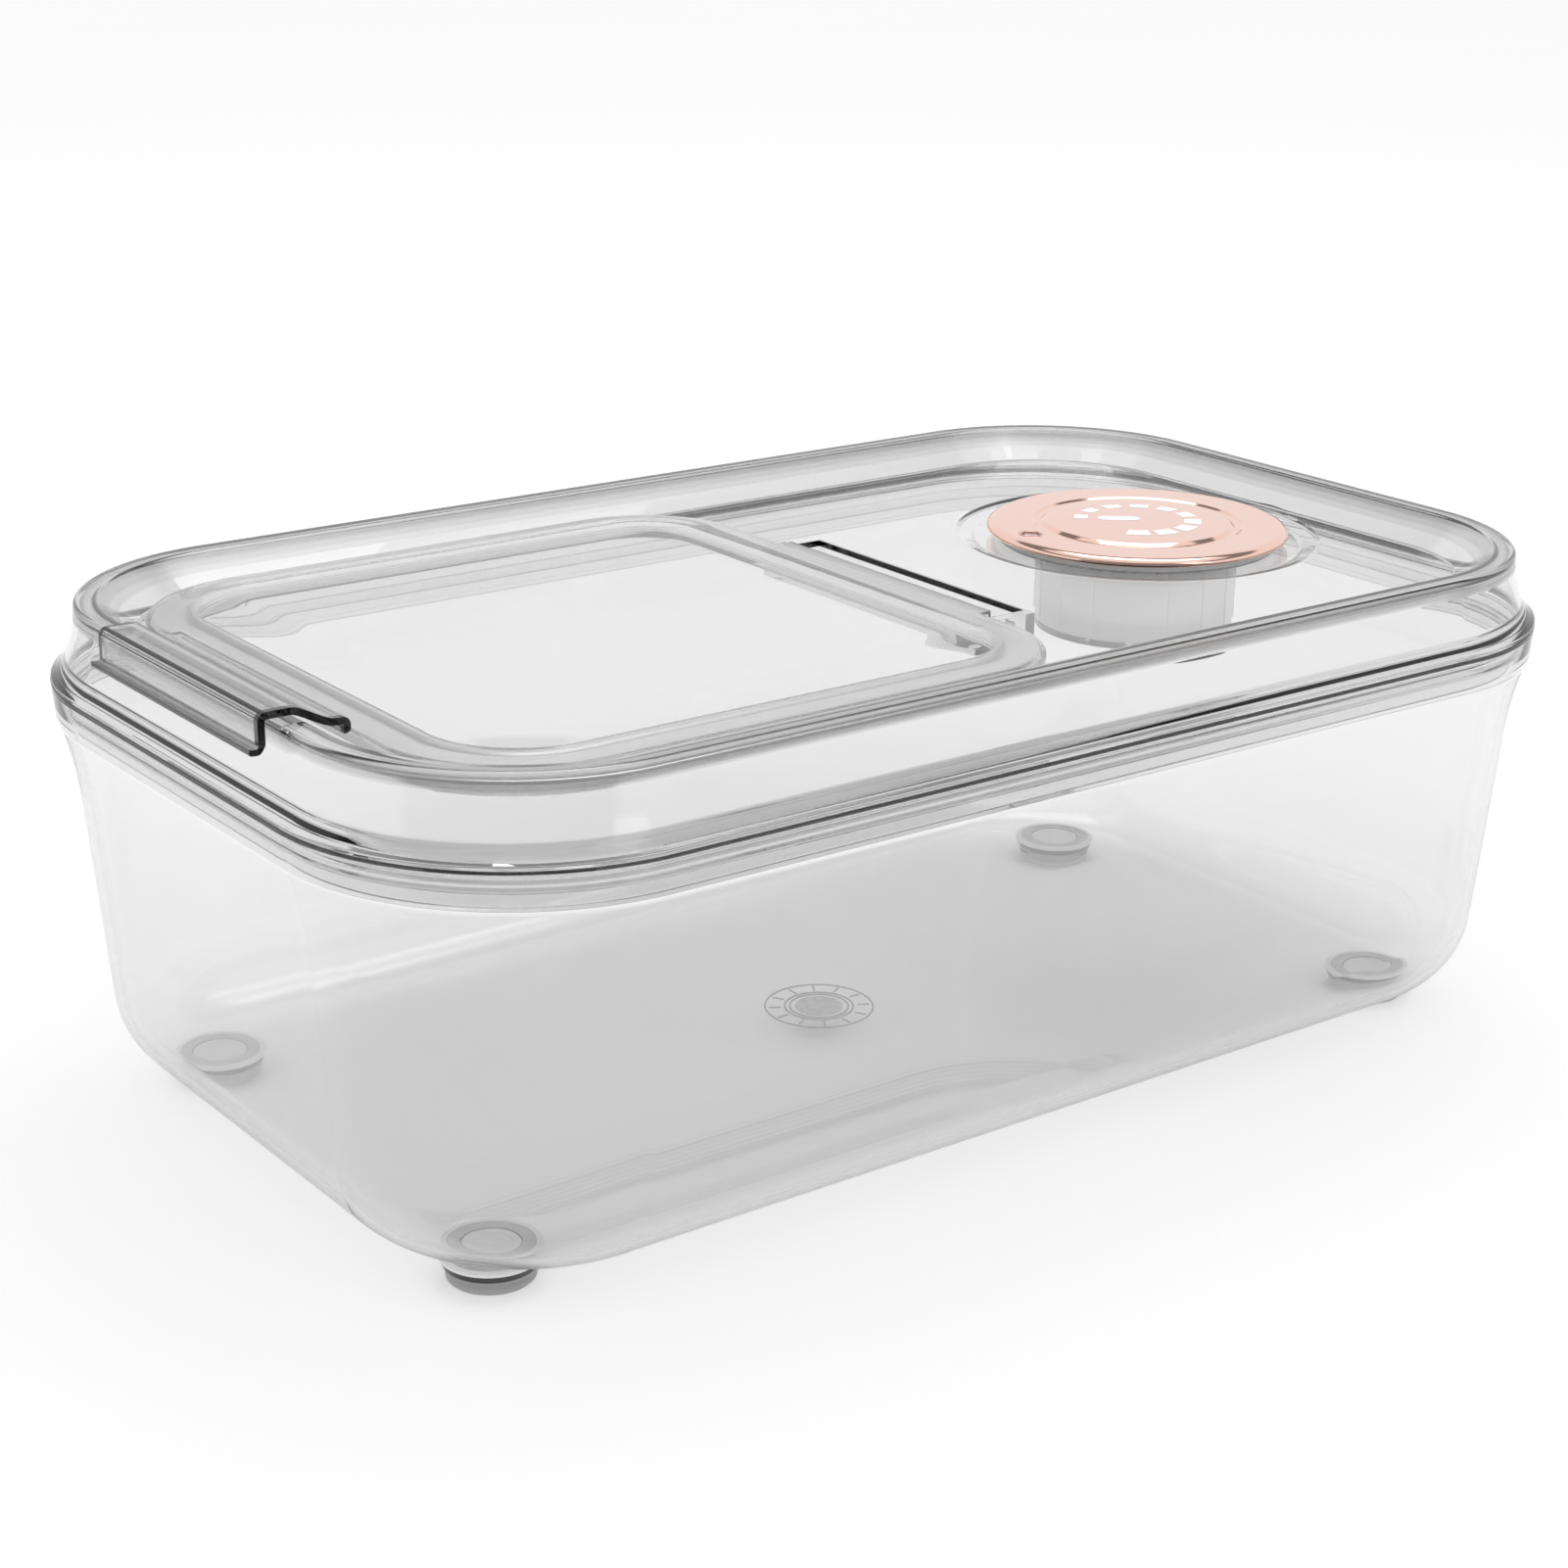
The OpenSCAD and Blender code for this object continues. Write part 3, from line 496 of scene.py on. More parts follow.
floor_edge = -(wall_in(FLOOR_Z) + FLOOR_ROUNDING + FLOOR_FLAT)
tub_section = rounded(
    [(floor_edge, FLOOR_Z, 0), (-wall_in(FLOOR_Z), FLOOR_Z, FLOOR_ROUNDING)]
    + flare()
    + [(-COLLAR_FOOT_IN, COLLAR_FOOT_Z + COLLAR_STEP, 0),
       (-COLLAR_TOP_IN, SEAM_Z - SEAM_GAP, 0.35),
       (-COLLAR_TOP_IN - WALL, SEAM_Z - SEAM_GAP, 0.35)]
    + list(reversed(flare(WALL)))
    + [(-wall_in(FLOOR_TOP_Z) - WALL, FLOOR_TOP_Z, FLOOR_ROUNDING - WALL),
       (floor_edge - 2, FLOOR_TOP_Z, 0)], steps=14)
tub = swept("tub", tub_section, TUB_CORNERS)


def foot_piece(name, outline, place, material, closed=True, steps=4, replaces=()):
    """A small turned piece at one of the feet."""
    piece = turned(name, rounded(outline, steps), place, closed, FOOT_STEPS)
    keep(piece, "bin", material, replaces)


feet = [(sx * FOOT.x, sy * abs(FOOT.y)) for sy in (-1, 1) for sx in (-1, 1)]
for i, place in enumerate(feet):
    foot_piece(f"foot_well_{i + 1}", [
        (BAND_OUT + SPACE, WELL_FOOT_Z, 0), (WELL_RADIUS - 0.4, WELL_FOOT_Z, 0.2),
        (WELL_RADIUS, WELL_TOP_Z, 0.5), (BAND_OUT + SPACE, WELL_TOP_Z, 0.5)],
        place, well_plastic)
    foot_piece(f"foot_band_{i + 1}", [
        (BAND_IN, WELL_FOOT_Z, 0), (BAND_OUT, WELL_FOOT_Z, 0),
        (BAND_OUT, BAND_TOP_Z, 0.3), (BAND_IN, BAND_TOP_Z, 0.3)],
        place, well_band)
keep(tub, "bin", tub_plastic, ["bin_body"])

# Ringed mould mark under the floor, with plain ticks; its clear relief is drawn in opaque grey, as painted
# shade for the light that the relief's edges bend away
MARK_RADIUS = 16.1
MARK_LINE = 0.5
MARK_RELIEF = 0.3
MARK_RINGS = (0.64, 0.55)          # radii of the inner rings, the disc and the ticks, as shares of the mark's
MARK_DISC = 0.44
TICK_IN, TICK_OUT = 0.7, 0.92
TICKS = 12
mark_z = (FLOOR_Z - MARK_RELIEF, FLOOR_Z - 0.03)


def flat_ring(name, outer, inner, z0, z1):
    return turned(name, [(inner, z0), (outer, z0), (outer, z1), (inner, z1)], closed=True, steps=96)


mark = flat_ring("mould_mark", MARK_RADIUS, MARK_RADIUS - MARK_LINE, *mark_z)
rings = [flat_ring(f"mark_ring_{i}", MARK_RADIUS * s, MARK_RADIUS * s - MARK_LINE, *mark_z)
         for i, s in enumerate(MARK_RINGS)]
mark_disc = flat_ring("mould_mark_disc", MARK_RADIUS * MARK_DISC, 0.2, *mark_z)
keep(mark_disc, "bin", mark_disc_painted_shade)
for i in range(TICKS):
    a = 2 * math.pi / TICKS * i
    out, side = Vector((math.cos(a), math.sin(a))), Vector((-math.sin(a), math.cos(a)))
    corners = [out * (MARK_RADIUS * (TICK_IN if s < 2 else TICK_OUT))
               + side * (MARK_LINE / 2 if s in (0, 3) else -MARK_LINE / 2) for s in range(4)]
    rings.append(upright(f"mark_tick_{i}", corners, *mark_z))
combine(mark, "UNION", *rings)
keep(mark, "bin", relief)

# Foot pads: soft grey discs with a rounded foot, a dark upper lip and a pale plug; the lip's dark tint is
# painted shade for the gap at the pad's top
pad_nodes = ("foot_pad_front_left", "foot_pad_front_right", "foot_pad_rear_left", "foot_pad_rear_right")
for node, place in zip(pad_nodes, feet):
    foot_piece(node.replace("foot_pad", "pad"), [
        (AXIS_HOLE, 0, 0), (PAD_RADIUS - 1.4, 0, 0.5), (PAD_RADIUS - 0.5, 0.8, 0.5),
        (PAD_RADIUS, WELL_Z - 0.1, 0.4), (AXIS_HOLE, WELL_Z - 0.1, 0)],
        place, pad_rubber, closed=False, steps=ROUND_STEPS, replaces=[node])
    foot_piece(node.replace("foot_pad", "pad_shade_lip"), [
        (BAND_OUT, WELL_Z - SPACE, 0), (PAD_RADIUS + 0.3, WELL_Z - SPACE, 0.3),
        (WELL_RADIUS - 0.5, LIP_TOP_Z, 0.3), (BAND_OUT, LIP_TOP_Z, 0)],
        place, foot_lip_shade_paint, steps=ROUND_STEPS)
    foot_piece(node.replace("foot_pad", "pad_plug"), [
        (AXIS_HOLE, WELL_Z - SPACE, 0), (BAND_IN - SPACE, WELL_Z - SPACE, 0.3),
        (BAND_IN - 0.3, PLUG_TOP_Z, 0.6), (5.6, PLUG_TOP_Z, 0),
        (5.2, FLOOR_Z - 0.6, 0.4), (AXIS_HOLE, FLOOR_Z - 0.6, 0)],
        place, pad_plug, closed=False)


# --- lid frame ---
def lid_wall(offset=0, steps=14):
    """The lid's wall, which spreads out from the rim down to the flange."""
    points = []
    for i in range(steps + 1):
        t = 1 - i / steps
        points.append((-RIM_IN + LID_WALL_SPREAD * t ** 1.6 - offset, BEAD_Z - LID_WALL_HEIGHT * t, 0))
    return points


flange_z = SEAM_Z + SEAM_GAP
skirt_z = LID_LOW.z
rim_inner = -RIM_IN - RIM_WIDTH
lid_section = rounded(
    [(-DECK_IN - 1, DECK_Z - WALL, 0), (-DECK_IN + 1.65, DECK_Z - WALL, 2),
     (rim_inner + 1.25, RIM_Z - WALL, 1), (-RIM_IN - WALL - 0.2, RIM_Z - WALL, 0.8)]
    + list(reversed(lid_wall(WALL)))
    + [(-SKIRT_IN - SKIRT_WALL, flange_z, 0), (-SKIRT_IN - SKIRT_WALL - SKIRT_TAPER / 2, skirt_z, 0.5),
       (-SKIRT_IN - SKIRT_TAPER, skirt_z, 0.5), (-SKIRT_IN - 0.42, SEAL_LOW_Z, 0),
       (-SKIRT_IN - SEAL_BITE, SEAL_LOW_Z, 0), (-SKIRT_IN - SEAL_BITE, SEAL_TOP_Z, 0),
       (-SKIRT_IN - 0.17, SEAL_TOP_Z, 0), (-SKIRT_IN, flange_z, 0.4), (-FLANGE_IN, flange_z, 0.25),
       (-FLANGE_IN, SEAM_Z + 1.5, 0.8), (-1.9, SEAM_Z + 2.7, 1.5)]
    + lid_wall()
    + [(-RIM_IN - 0.2, BEAD_Z + 1.2, 0.8), (-RIM_IN - 0.2, RIM_Z, 1.4), (rim_inner, RIM_Z, 1.4),
       (-DECK_IN + 1, DECK_Z, 1.6), (-DECK_IN - 1, DECK_Z, 0)], steps=10)
lid = swept("lid", lid_section, TUB_CORNERS)

DISH_START = 0.5       # the dish's section starts at this radius, inside the bore
DISH_PAST = 3          # and ends this far outside the dish
DISH_BEND = 5
DISH_CUT_RISE = 9


def hollow(flat, rim, low_z, high_z, bend):
    """One side of a shallow dish, from its middle out to where it meets the sheet."""
    return [(DISH_START, low_z, 0), (flat, low_z, bend), (rim, high_z, bend), (rim + DISH_PAST, high_z, 0)]


SHEET_STEP = 0.015     # keeps joined and cut faces from lying in one plane
dish_flat = DISH_RADIUS - DISH_SLOPE
dish_seat = turned("dish_seat", rounded(
    hollow(dish_flat, DISH_RADIUS, DISH_Z - WALL, DECK_Z - WALL + SHEET_STEP, DISH_BEND)
    + [(DISH_RADIUS + DISH_PAST, DECK_Z - WALL / 2, 0), (DISH_START, DECK_Z - WALL / 2, 0)]), DIAL)
pocket = box("pocket", (-POCKET_HALF - WALL, POCKET_FRONT - WALL, POCKET_Z - WALL),
             (POCKET_HALF + WALL, POCKET_REAR + WALL, DECK_Z - WALL / 2))
bosses = []
for side in (-1, 1):
    x = sorted((side * (POCKET_HALF + WALL / 2), side * (POCKET_HALF + BOSS_LENGTH)))
    r = PIN_RADIUS + WALL
    bosses.append(along_x(f"boss_{side + 1}", [
        (HINGE.y + r * math.cos(a), HINGE.z + r * math.sin(a))
        for a in (math.pi + math.pi * i / 20 for i in range(21))]
        + [(HINGE.y + r, DECK_Z - WALL / 2), (HINGE.y - r, DECK_Z - WALL / 2)], *x))
combine(lid, "UNION", dish_seat, pocket, *bosses)

dish_cut = turned("dish_cut", rounded(
    hollow(dish_flat, DISH_RADIUS, DISH_Z, DECK_Z + SHEET_STEP, DISH_BEND)
    + [(DISH_RADIUS + DISH_PAST, DECK_Z + DISH_CUT_RISE, 0),
       (DISH_START, DECK_Z + DISH_CUT_RISE, 0)]), DIAL)
hole_cut = upright("hole_cut", circle(HOLE_RADIUS, 96, DIAL), DISH_Z - RUN_PAST, DECK_Z + RUN_PAST)
mouth_cut = upright("mouth_cut", [tuple(p) for p, n in corner_stations(PANEL_CORNERS, -MOUTH_IN)],
                    DECK_Z - WALL - 3, DECK_Z + RUN_PAST)
pocket_cut = box("pocket_cut", (-POCKET_HALF, POCKET_FRONT, POCKET_Z),
                 (POCKET_HALF, POCKET_REAR, DECK_Z + RUN_PAST))
notch_cut = box("notch_cut", (-TAB_HALF - 3, -HALF_Y, RIM_Z - NOTCH_DEPTH),
                (TAB_HALF + 3, -HALF_Y - rim_inner + 2, RIM_Z + RUN_PAST))
pin_cut = along_x("pin_cut", circle(PIN_RADIUS + 0.01, 40, (HINGE.y, HINGE.z)),
                  -POCKET_HALF - BOSS_LENGTH - 5, POCKET_HALF + BOSS_LENGTH + 5)
combine(lid, "DIFFERENCE", dish_cut, hole_cut, mouth_cut, pocket_cut, notch_cut, pin_cut)
keep(lid, "lid", lid_plastic, ["lid_frame"])

# Seal in the skirt's groove, with two lips towards the tub
LIP_IN = 3.2
LIP_RISE = 0.9         # from the seal's middle to each lip
LIP_SLOPE = 0.6
LIP_WAIST = 0.35
seal_in = SKIRT_IN + SEAL_BITE - SPACE
seal_foot, seal_top = SEAL_LOW_Z + SPACE, SEAL_TOP_Z - SPACE
seal_middle = (SEAL_LOW_Z + SEAL_TOP_Z) / 2
lid_seal = swept("lid_seal", rounded([
    (-seal_in, seal_foot, 0), (-LIP_IN - LIP_SLOPE, seal_foot, 0.3), (-LIP_IN, seal_middle - LIP_RISE, 0.3),
    (-LIP_IN - LIP_WAIST, seal_middle, 0.3), (-LIP_IN, seal_middle + LIP_RISE, 0.3),
    (-LIP_IN - LIP_SLOPE, seal_top, 0.3), (-seal_in, seal_top, 0)], steps=4), TUB_CORNERS, closed=True)
keep(lid_seal, "lid", silicone, ["lid_gasket"])

# A dark ring in the seam's air gap, all round: painted shadow for the gap between the lid's flange and the tub
LINE_IN, LINE_OUT = 2.2, 0.4
line_low, line_high = SEAM_Z - SEAM_GAP + 0.04, SEAM_Z + SEAM_GAP - 0.04
seam_shadow_ring = swept("seam_shadow_ring", [(-LINE_IN, line_low), (-LINE_OUT, line_low),
                                (-LINE_OUT, line_high), (-LINE_IN, line_high)], TUB_CORNERS, closed=True)
keep(seam_shadow_ring, "lid", seam_shadow_paint)


# --- flip panel ---
def panel_z(inwards):
    """Height of the softly crowned top at a distance in from the panel's edge."""
    t = max(0, min(1, (inwards - PANEL_EDGE) / CROWN_RUN))
    return PANEL_TOP_Z - PANEL_CROWN * ((1 + math.cos(math.pi * t)) / 2) ** 1.5


def crowned(low=0, steps=16):
    """Points of the panel's crown from its edge inwards, or of its underside."""
    reach = [PANEL_EDGE + 0.6 + (CROWN_RUN - 0.6) * i / steps for i in range(steps + 1)]
    return [(-d, panel_z(d) - low, 0) for d in reach]


panel_section = rounded(
    list(reversed(crowned(PANEL_WALL)))
    + [(-PANEL_WALL, PANEL_EDGE_Z - PANEL_WALL, 0.4), (-PANEL_WALL, PANEL_LOW_Z, 0.3), (0, PANEL_LOW_Z, 0.4),
       (0, PANEL_EDGE_Z - 0.1, 2)]
    + crowned(), steps=8)
panel = swept("flip_panel", panel_section, PANEL_CORNERS)

rim_front = -(HALF_Y - RIM_IN)
crest = RIM_Z + TAB_RISE - TAB_WALL / 2
tab_out = rim_front - TAB_REACH
tab_root = crest - TAB_ROOT_DROP
tab_line = [Vector(p) for p in rounded([
    (PANEL_FRONT + 0.4, PANEL_EDGE_Z - 1, 0), (PANEL_FRONT + 0.4, tab_root, 1.3),
    (PANEL_FRONT - 4, tab_root, 8), (rim_front + 5.5, crest, 6),
    (tab_out, crest, 1.4), (tab_out, RIM_Z - TAB_FOOT_DROP, 0)])]


def ribbon(line, thickness):
    """The outline of a sheet of even thickness along a line."""
    left, right = [], []
    for i, p in enumerate(line):
        way = (line[min(i + 1, len(line) - 1)] - line[max(i - 1, 0)]).normalized()
        side = Vector((-way.y, way.x)) * thickness / 2
        left.append(tuple(p + side))
        right.append(tuple(p - side))
    return left + right[::-1]


# The tab's ends get a dark tint: painted shade for cut edges that light can't get out of
TAB_SPLIT = 0.03       # space between the tab and its ends
TAB_END = 1.8          # length of the tab's dark ends, where light can't get out of the cut edge
tab = along_x("flip_tab", ribbon(tab_line, TAB_WALL), -TAB_HALF + TAB_END, TAB_HALF - TAB_END)
for side in (-1, 1):
    x = sorted((side * (TAB_HALF - TAB_END + TAB_SPLIT), side * TAB_HALF))
    end = along_x(f"flip_tab_end_{(side + 3) // 2}", ribbon(tab_line, TAB_WALL), *x)
    keep(end, "flip", tab_end_shade_paint)
hinge_half = POCKET_HALF - 1
WEB_WALL = 0.8
WEB_REACH = 1          # how far the web runs past the hinge's axis
web_z = PANEL_LOW_Z + 0.1
web_rear = HINGE.y + WEB_REACH
barrel = along_x("barrel", circle(BARREL_RADIUS, 64, (HINGE.y, HINGE.z)), -hinge_half, hinge_half)
web = box("web", (-hinge_half, PANEL_REAR - PANEL_WALL - 0.5, web_z),
          (hinge_half, web_rear, web_z + WEB_WALL))
web_drop = box("web_drop", (-hinge_half, web_rear - WEB_WALL, HINGE.z + 2),
               (hinge_half, web_rear - 0.02, web_z + WEB_WALL / 2))
combine(panel, "UNION", barrel, web, web_drop)
barrel_bore = along_x("barrel_bore", circle(PIN_RADIUS + 0.05, 40, (HINGE.y, HINGE.z)),
                      -hinge_half - 5, hinge_half + 5)
combine(panel, "DIFFERENCE", barrel_bore)
keep(panel, "flip", panel_plastic, ["flip_lid"])
keep(tab, "flip", tab_plastic)
# The finger lip under the tab's foot, which turns outwards; its dark tint is painted shade
lip_top = RIM_Z - TAB_FOOT_DROP - SPACE
lip_root = tab_out + TAB_WALL / 2
tab_lip = along_x("tab_lip", rounded([
    (lip_root, lip_top, 0), (tab_out - TAB_WALL / 2, lip_top, 0), (tab_out - 1.2, lip_top - 0.7, 0.5),
    (tab_out - 3.3, lip_top - 0.5, 0.4), (tab_out - 3.6, lip_top - 2.0, 0.7),
    (tab_out - 0.4, lip_top - 2.3, 1.8), (lip_root, lip_top, 0)])[:-1], -TAB_HALF, TAB_HALF)
keep(tab_lip, "flip", tab_lip_shade_paint)

FLIP_SEAL_CLEAR = 0.3  # above the deck, and below the panel
flip_seal_in = -PANEL_SKIRT_IN + 0.06
flip_seal_low = DECK_Z + FLIP_SEAL_CLEAR
flip_seal_top = panel_z(PANEL_SKIRT_IN - 2) - PANEL_WALL - FLIP_SEAL_CLEAR
flip_seal = swept("flip_seal", rounded([
    (flip_seal_in, flip_seal_low, 0), (-PANEL_SKIRT_IN + 4, flip_seal_low, 0.5),
    (-PANEL_SKIRT_IN + 2, flip_seal_top, 0.4), (flip_seal_in, flip_seal_top, 0)], steps=4),
    PANEL_CORNERS, closed=True)
keep(flip_seal, "flip", silicone, ["flip_gasket"])

# --- dial ---
GROOVE_RADIUS = 31.8
INSERT_RADIUS = 29.2
INSERT_RISE = 0.3
DOME = 0.5
SKIRT_LOW_Z = DIAL_TOP_Z - 2.5
BEVEL_IN, BEVEL_DOWN = 3.0, 1.9
BEVEL_STEPS = 12
COVER_SKIN = 0.5       # over the number band
COVER_BASE = 1.25      # thickness further in
COVER_HOLE = 5
NUMBERS_IN, NUMBERS_OUT = 34.2, 41.0
NUMBER_RADIUS = 37.5
GROOVE_Z = DIAL_TOP_Z - 0.5


def face_z(r):
    """Height of the gently domed middle disc."""
    return DIAL_TOP_Z + INSERT_RISE + DOME * (1 - (r / INSERT_RADIUS) ** 2)


bevel = [(DIAL_RADIUS - BEVEL_IN * (1 - math.sin(a)), DIAL_TOP_Z - BEVEL_DOWN * (1 - math.cos(a)), 0)
         for a in (math.pi / 2 * i / BEVEL_STEPS for i in range(BEVEL_STEPS + 1))]
cover = turned("dial_cover_shell", rounded(
    [(INSERT_RADIUS - 0.4, GROOVE_Z, 0), (GROOVE_RADIUS - 1, GROOVE_Z, 0.4), (GROOVE_RADIUS, DIAL_TOP_Z, 0.5)]
    + bevel
    + [(DIAL_RADIUS, SKIRT_LOW_Z + 0.2, 0), (DIAL_RADIUS - 0.4, SKIRT_LOW_Z, 0),
       (DIAL_RADIUS - 1.2, SKIRT_LOW_Z + 0.1, 0), (DIAL_RADIUS - 1.9, DIAL_TOP_Z - 1.5, 0.4),
       (DIAL_RADIUS - 4, DIAL_TOP_Z - COVER_SKIN, 0), (NUMBERS_IN - 0.5, DIAL_TOP_Z - COVER_SKIN, 0),
       (NUMBERS_IN - 1, DIAL_TOP_Z - COVER_BASE, 0), (COVER_HOLE, DIAL_TOP_Z - COVER_BASE, 0),
       (COVER_HOLE, DIAL_TOP_Z - COVER_BASE + 0.3, 0)],
    steps=8), DIAL, closed=True)
WINDOW_RADIUS = 2.7
WINDOW_TURN = math.radians(-100)
window_at = DIAL + Vector((math.cos(WINDOW_TURN), math.sin(WINDOW_TURN))) * NUMBER_RADIUS
window = upright("window", circle(WINDOW_RADIUS, 40, window_at), DIAL_TOP_Z - 5, DIAL_TOP_Z + 5)
combine(cover, "DIFFERENCE", window)
keep(cover, "dial", rose_gold, ["dial_cover"])
bezel = turned("window_bezel", rounded([
    (2.65, DIAL_TOP_Z - 0.45, 0), (2.65, DIAL_TOP_Z + 0.02, 0.1), (2.9, DIAL_TOP_Z + 0.13, 0.1),
    (3.5, DIAL_TOP_Z + 0.08, 0.2), (3.8, DIAL_TOP_Z - 0.1, 0)], steps=4), window_at, closed=True, steps=48)
keep(bezel, "dial", copper)
insert = turned("dial_face", rounded([
    (0.02, GROOVE_Z - 0.1, 0), (INSERT_RADIUS + 0.1, GROOVE_Z - 0.1, 0), (INSERT_RADIUS, GROOVE_Z + 0.05, 0),
    (INSERT_RADIUS - 1.3, face_z(INSERT_RADIUS - 1.3), 0.5)]
    + [(r, face_z(r), 0) for r in (27, 24, 20, 16, 12, 8, 4, 0.02)], steps=6), DIAL)
keep(insert, "dial", rose_gold, ["dial_insert"], sharp=40)

PRINT_HIGH = 0.03


def face_patch(inner, outer, start, end, steps=8):
    """A thin printed patch between two radii and two angles, lying on the domed face."""
    points, faces = [], []
    for r in (inner, (inner + outer) / 2, outer):
        for i in range(steps + 1):
            a = math.radians(start + (end - start) * i / steps)
            points.append((DIAL.x + r * math.cos(a), DIAL.y + r * math.sin(a), face_z(r) + PRINT_HIGH))
    for row in range(2):
        for i in range(steps):
            k = row * (steps + 1) + i
            faces.append((k, k + 1, k + steps + 2, k + steps + 1))
    return points, faces


# Ten blocks of growing width in an open ring, and a plain round-ended pointer
BLOCKS = 10
BLOCK_FIRST = 224
BLOCK_LAST = -42
BLOCK_OUTER = 19.2
BLOCK_DEPTH, BLOCK_DEEPER = 4.2, 1.4       # radial depth of the first block, and what the last one adds
BLOCK_HALF, BLOCK_WIDER = 8.5, 3.2         # the same for half a block's angle, in degrees
points, faces = [], []
for i in range(BLOCKS):
    t = i / (BLOCKS - 1)
    middle = BLOCK_FIRST + (BLOCK_LAST - BLOCK_FIRST) * t
    half = BLOCK_HALF + BLOCK_WIDER * t
    inner = BLOCK_OUTER - BLOCK_DEPTH - BLOCK_DEEPER * t
    new_points, new_faces = face_patch(inner, BLOCK_OUTER, middle - half, middle + half)
    faces += [[k + len(points) for k in f] for f in new_faces]
    points += new_points
POINTER_TURN = math.radians(50)
POINTER_LONG, POINTER_WIDE = 6.4, 2.6
POINTER_AT = Vector((-3.9, -4.1))
POINTER_STEPS = 48
rim = []
for i in range(POINTER_STEPS):
    a = 2 * math.pi * i / POINTER_STEPS
    x = POINTER_WIDE * math.cos(a) + math.copysign(POINTER_LONG - POINTER_WIDE, math.cos(a))
    y = POINTER_WIDE * math.sin(a)
    rim.append((POINTER_AT.x + x * math.cos(POINTER_TURN) - y * math.sin(POINTER_TURN),
                POINTER_AT.y + x * math.sin(POINTER_TURN) + y * math.cos(POINTER_TURN)))
start = len(points)
points += [(DIAL.x + x, DIAL.y + y, face_z(math.hypot(x, y)) + PRINT_HIGH) for x, y in rim]
faces.append(list(range(start, start + len(rim))))
blocks = mesh_object("dial_print", points, faces)
keep(blocks, "dial", white_print)

# Raised white band of the number ring, close under the window, with plain numbers
NUMBERS = 12
WINDOW_NUMBER = 8      # the number that shows in the window at rest
NUMBER_SIZE = 3.3
NUMBER_THICK = 0.02
band_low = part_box("number_ring")[1].z / MM + 0.03
band_top = DIAL_TOP_Z - COVER_SKIN - 0.15
number_band = turned("number_band", rounded([
    (NUMBERS_IN, band_low, 0), (NUMBERS_OUT, band_low, 0),
    (NUMBERS_OUT, band_top, 0.2), (NUMBERS_IN, band_top, 0.2)], steps=4), DIAL, closed=True)
keep(number_band, "module", white_plastic)
for i in range(NUMBERS):
    a = WINDOW_TURN + 2 * math.pi / NUMBERS * i
    text = bpy.data.curves.new(f"number_{i + 1}", "FONT")
    text.body = str((i + WINDOW_NUMBER - 1) % NUMBERS + 1)
    text.size = NUMBER_SIZE * MM
    text.align_x = "CENTER"
    text.align_y = "CENTER"
    text.extrude = NUMBER_THICK * MM
    number = in_scene(bpy.data.objects.new(f"number_{i + 1}", text))
    number.location = Vector((DIAL.x + NUMBER_RADIUS * math.cos(a), DIAL.y + NUMBER_RADIUS * math.sin(a),
                              band_top + 2 * NUMBER_THICK)) * MM
    number.rotation_euler = (0, 0, a + math.pi / 2)
    text.materials.append(red_print)
    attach(number, "module")


# --- finishes of the CAD pieces that stay ---
def dress(node, material):
    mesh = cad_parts[node].data
    for i in range(len(mesh.materials)):
        mesh.materials[i] = material


dress("hinge_pin", clear)
dress("desiccant_cup", cup_plastic)
dress("cup_gasket", silicone)
dress("desiccant_refill", refill_cloth)
dress("vent_cap", vent_plastic)
dress("dial_base", white_plastic)
dress("number_ring", white_plastic)
dress("dial_washer", steel)
dress("dial_screw", steel)

# --- floor, light and camera ---
CAMERA_TURN = math.radians(53.0413)
CAMERA_RISE = math.radians(18.9395)
CAMERA_ROLL = math.radians(0.6744)
CAMERA_AWAY = 0.8538
CAMERA_AIM = Vector((-0.003788, -0.0050167, 0.0792886))
CAMERA_SHIFT = (-0.009, -0.005)
CAMERA_ZOOM = 1.9037   # the lens's length over the sensor's width
SENSOR = 36
FLOOR_HALF = 9.0
FLOOR_FRONT = 0.45     # the paper ends here towards the camera, so what faces the camera mirrors the dark room
PAPER_LIFT = 0.09      # share of white added where the floor is looked at, so that it reads as pure white
SHADOW_EASE = 0.5      # how far the floor's shadow is eased for the camera alone
PURE_WHITE = (1, 1, 1, 1)
TOWARDS_CAMERA = Vector((math.sin(CAMERA_TURN), -math.cos(CAMERA_TURN), 0))
ACROSS = Vector((math.cos(CAMERA_TURN), math.sin(CAMERA_TURN), 0))
floor_mesh = bpy.data.meshes.new("floor")
floor_corners = [ACROSS * side * FLOOR_HALF + TOWARDS_CAMERA * reach
                 for side, reach in ((-1, FLOOR_FRONT), (1, FLOOR_FRONT), (1, -FLOOR_HALF), (-1, -FLOOR_HALF))]
floor_mesh.from_pydata(floor_corners, [], [(0, 1, 2, 3)])
floor = in_scene(bpy.data.objects.new("floor", floor_mesh))
paper, tree, out = node_material("floor_paper")
path, sheen = either_ray(tree, "Is Glossy Ray", "Is Transmission Ray")
looked_at = add(tree, "ShaderNodeMath", {0: path.outputs["Is Camera Ray"], 1: sheen}, operation="MAXIMUM")
lift = add(tree, "ShaderNodeMath", {0: looked_at.outputs[0], 1: PAPER_LIFT}, operation="MULTIPLY")
paper_tone = two_tones(tree, object_noise(tree, 3.0), grey(0.925), grey(0.935))
matte = add(tree, "ShaderNodeBsdfDiffuse", {"Color": paper_tone})
glow = add(tree, "ShaderNodeEmission", {"Color": PURE_WHITE, "Strength": lift.outputs[0]})
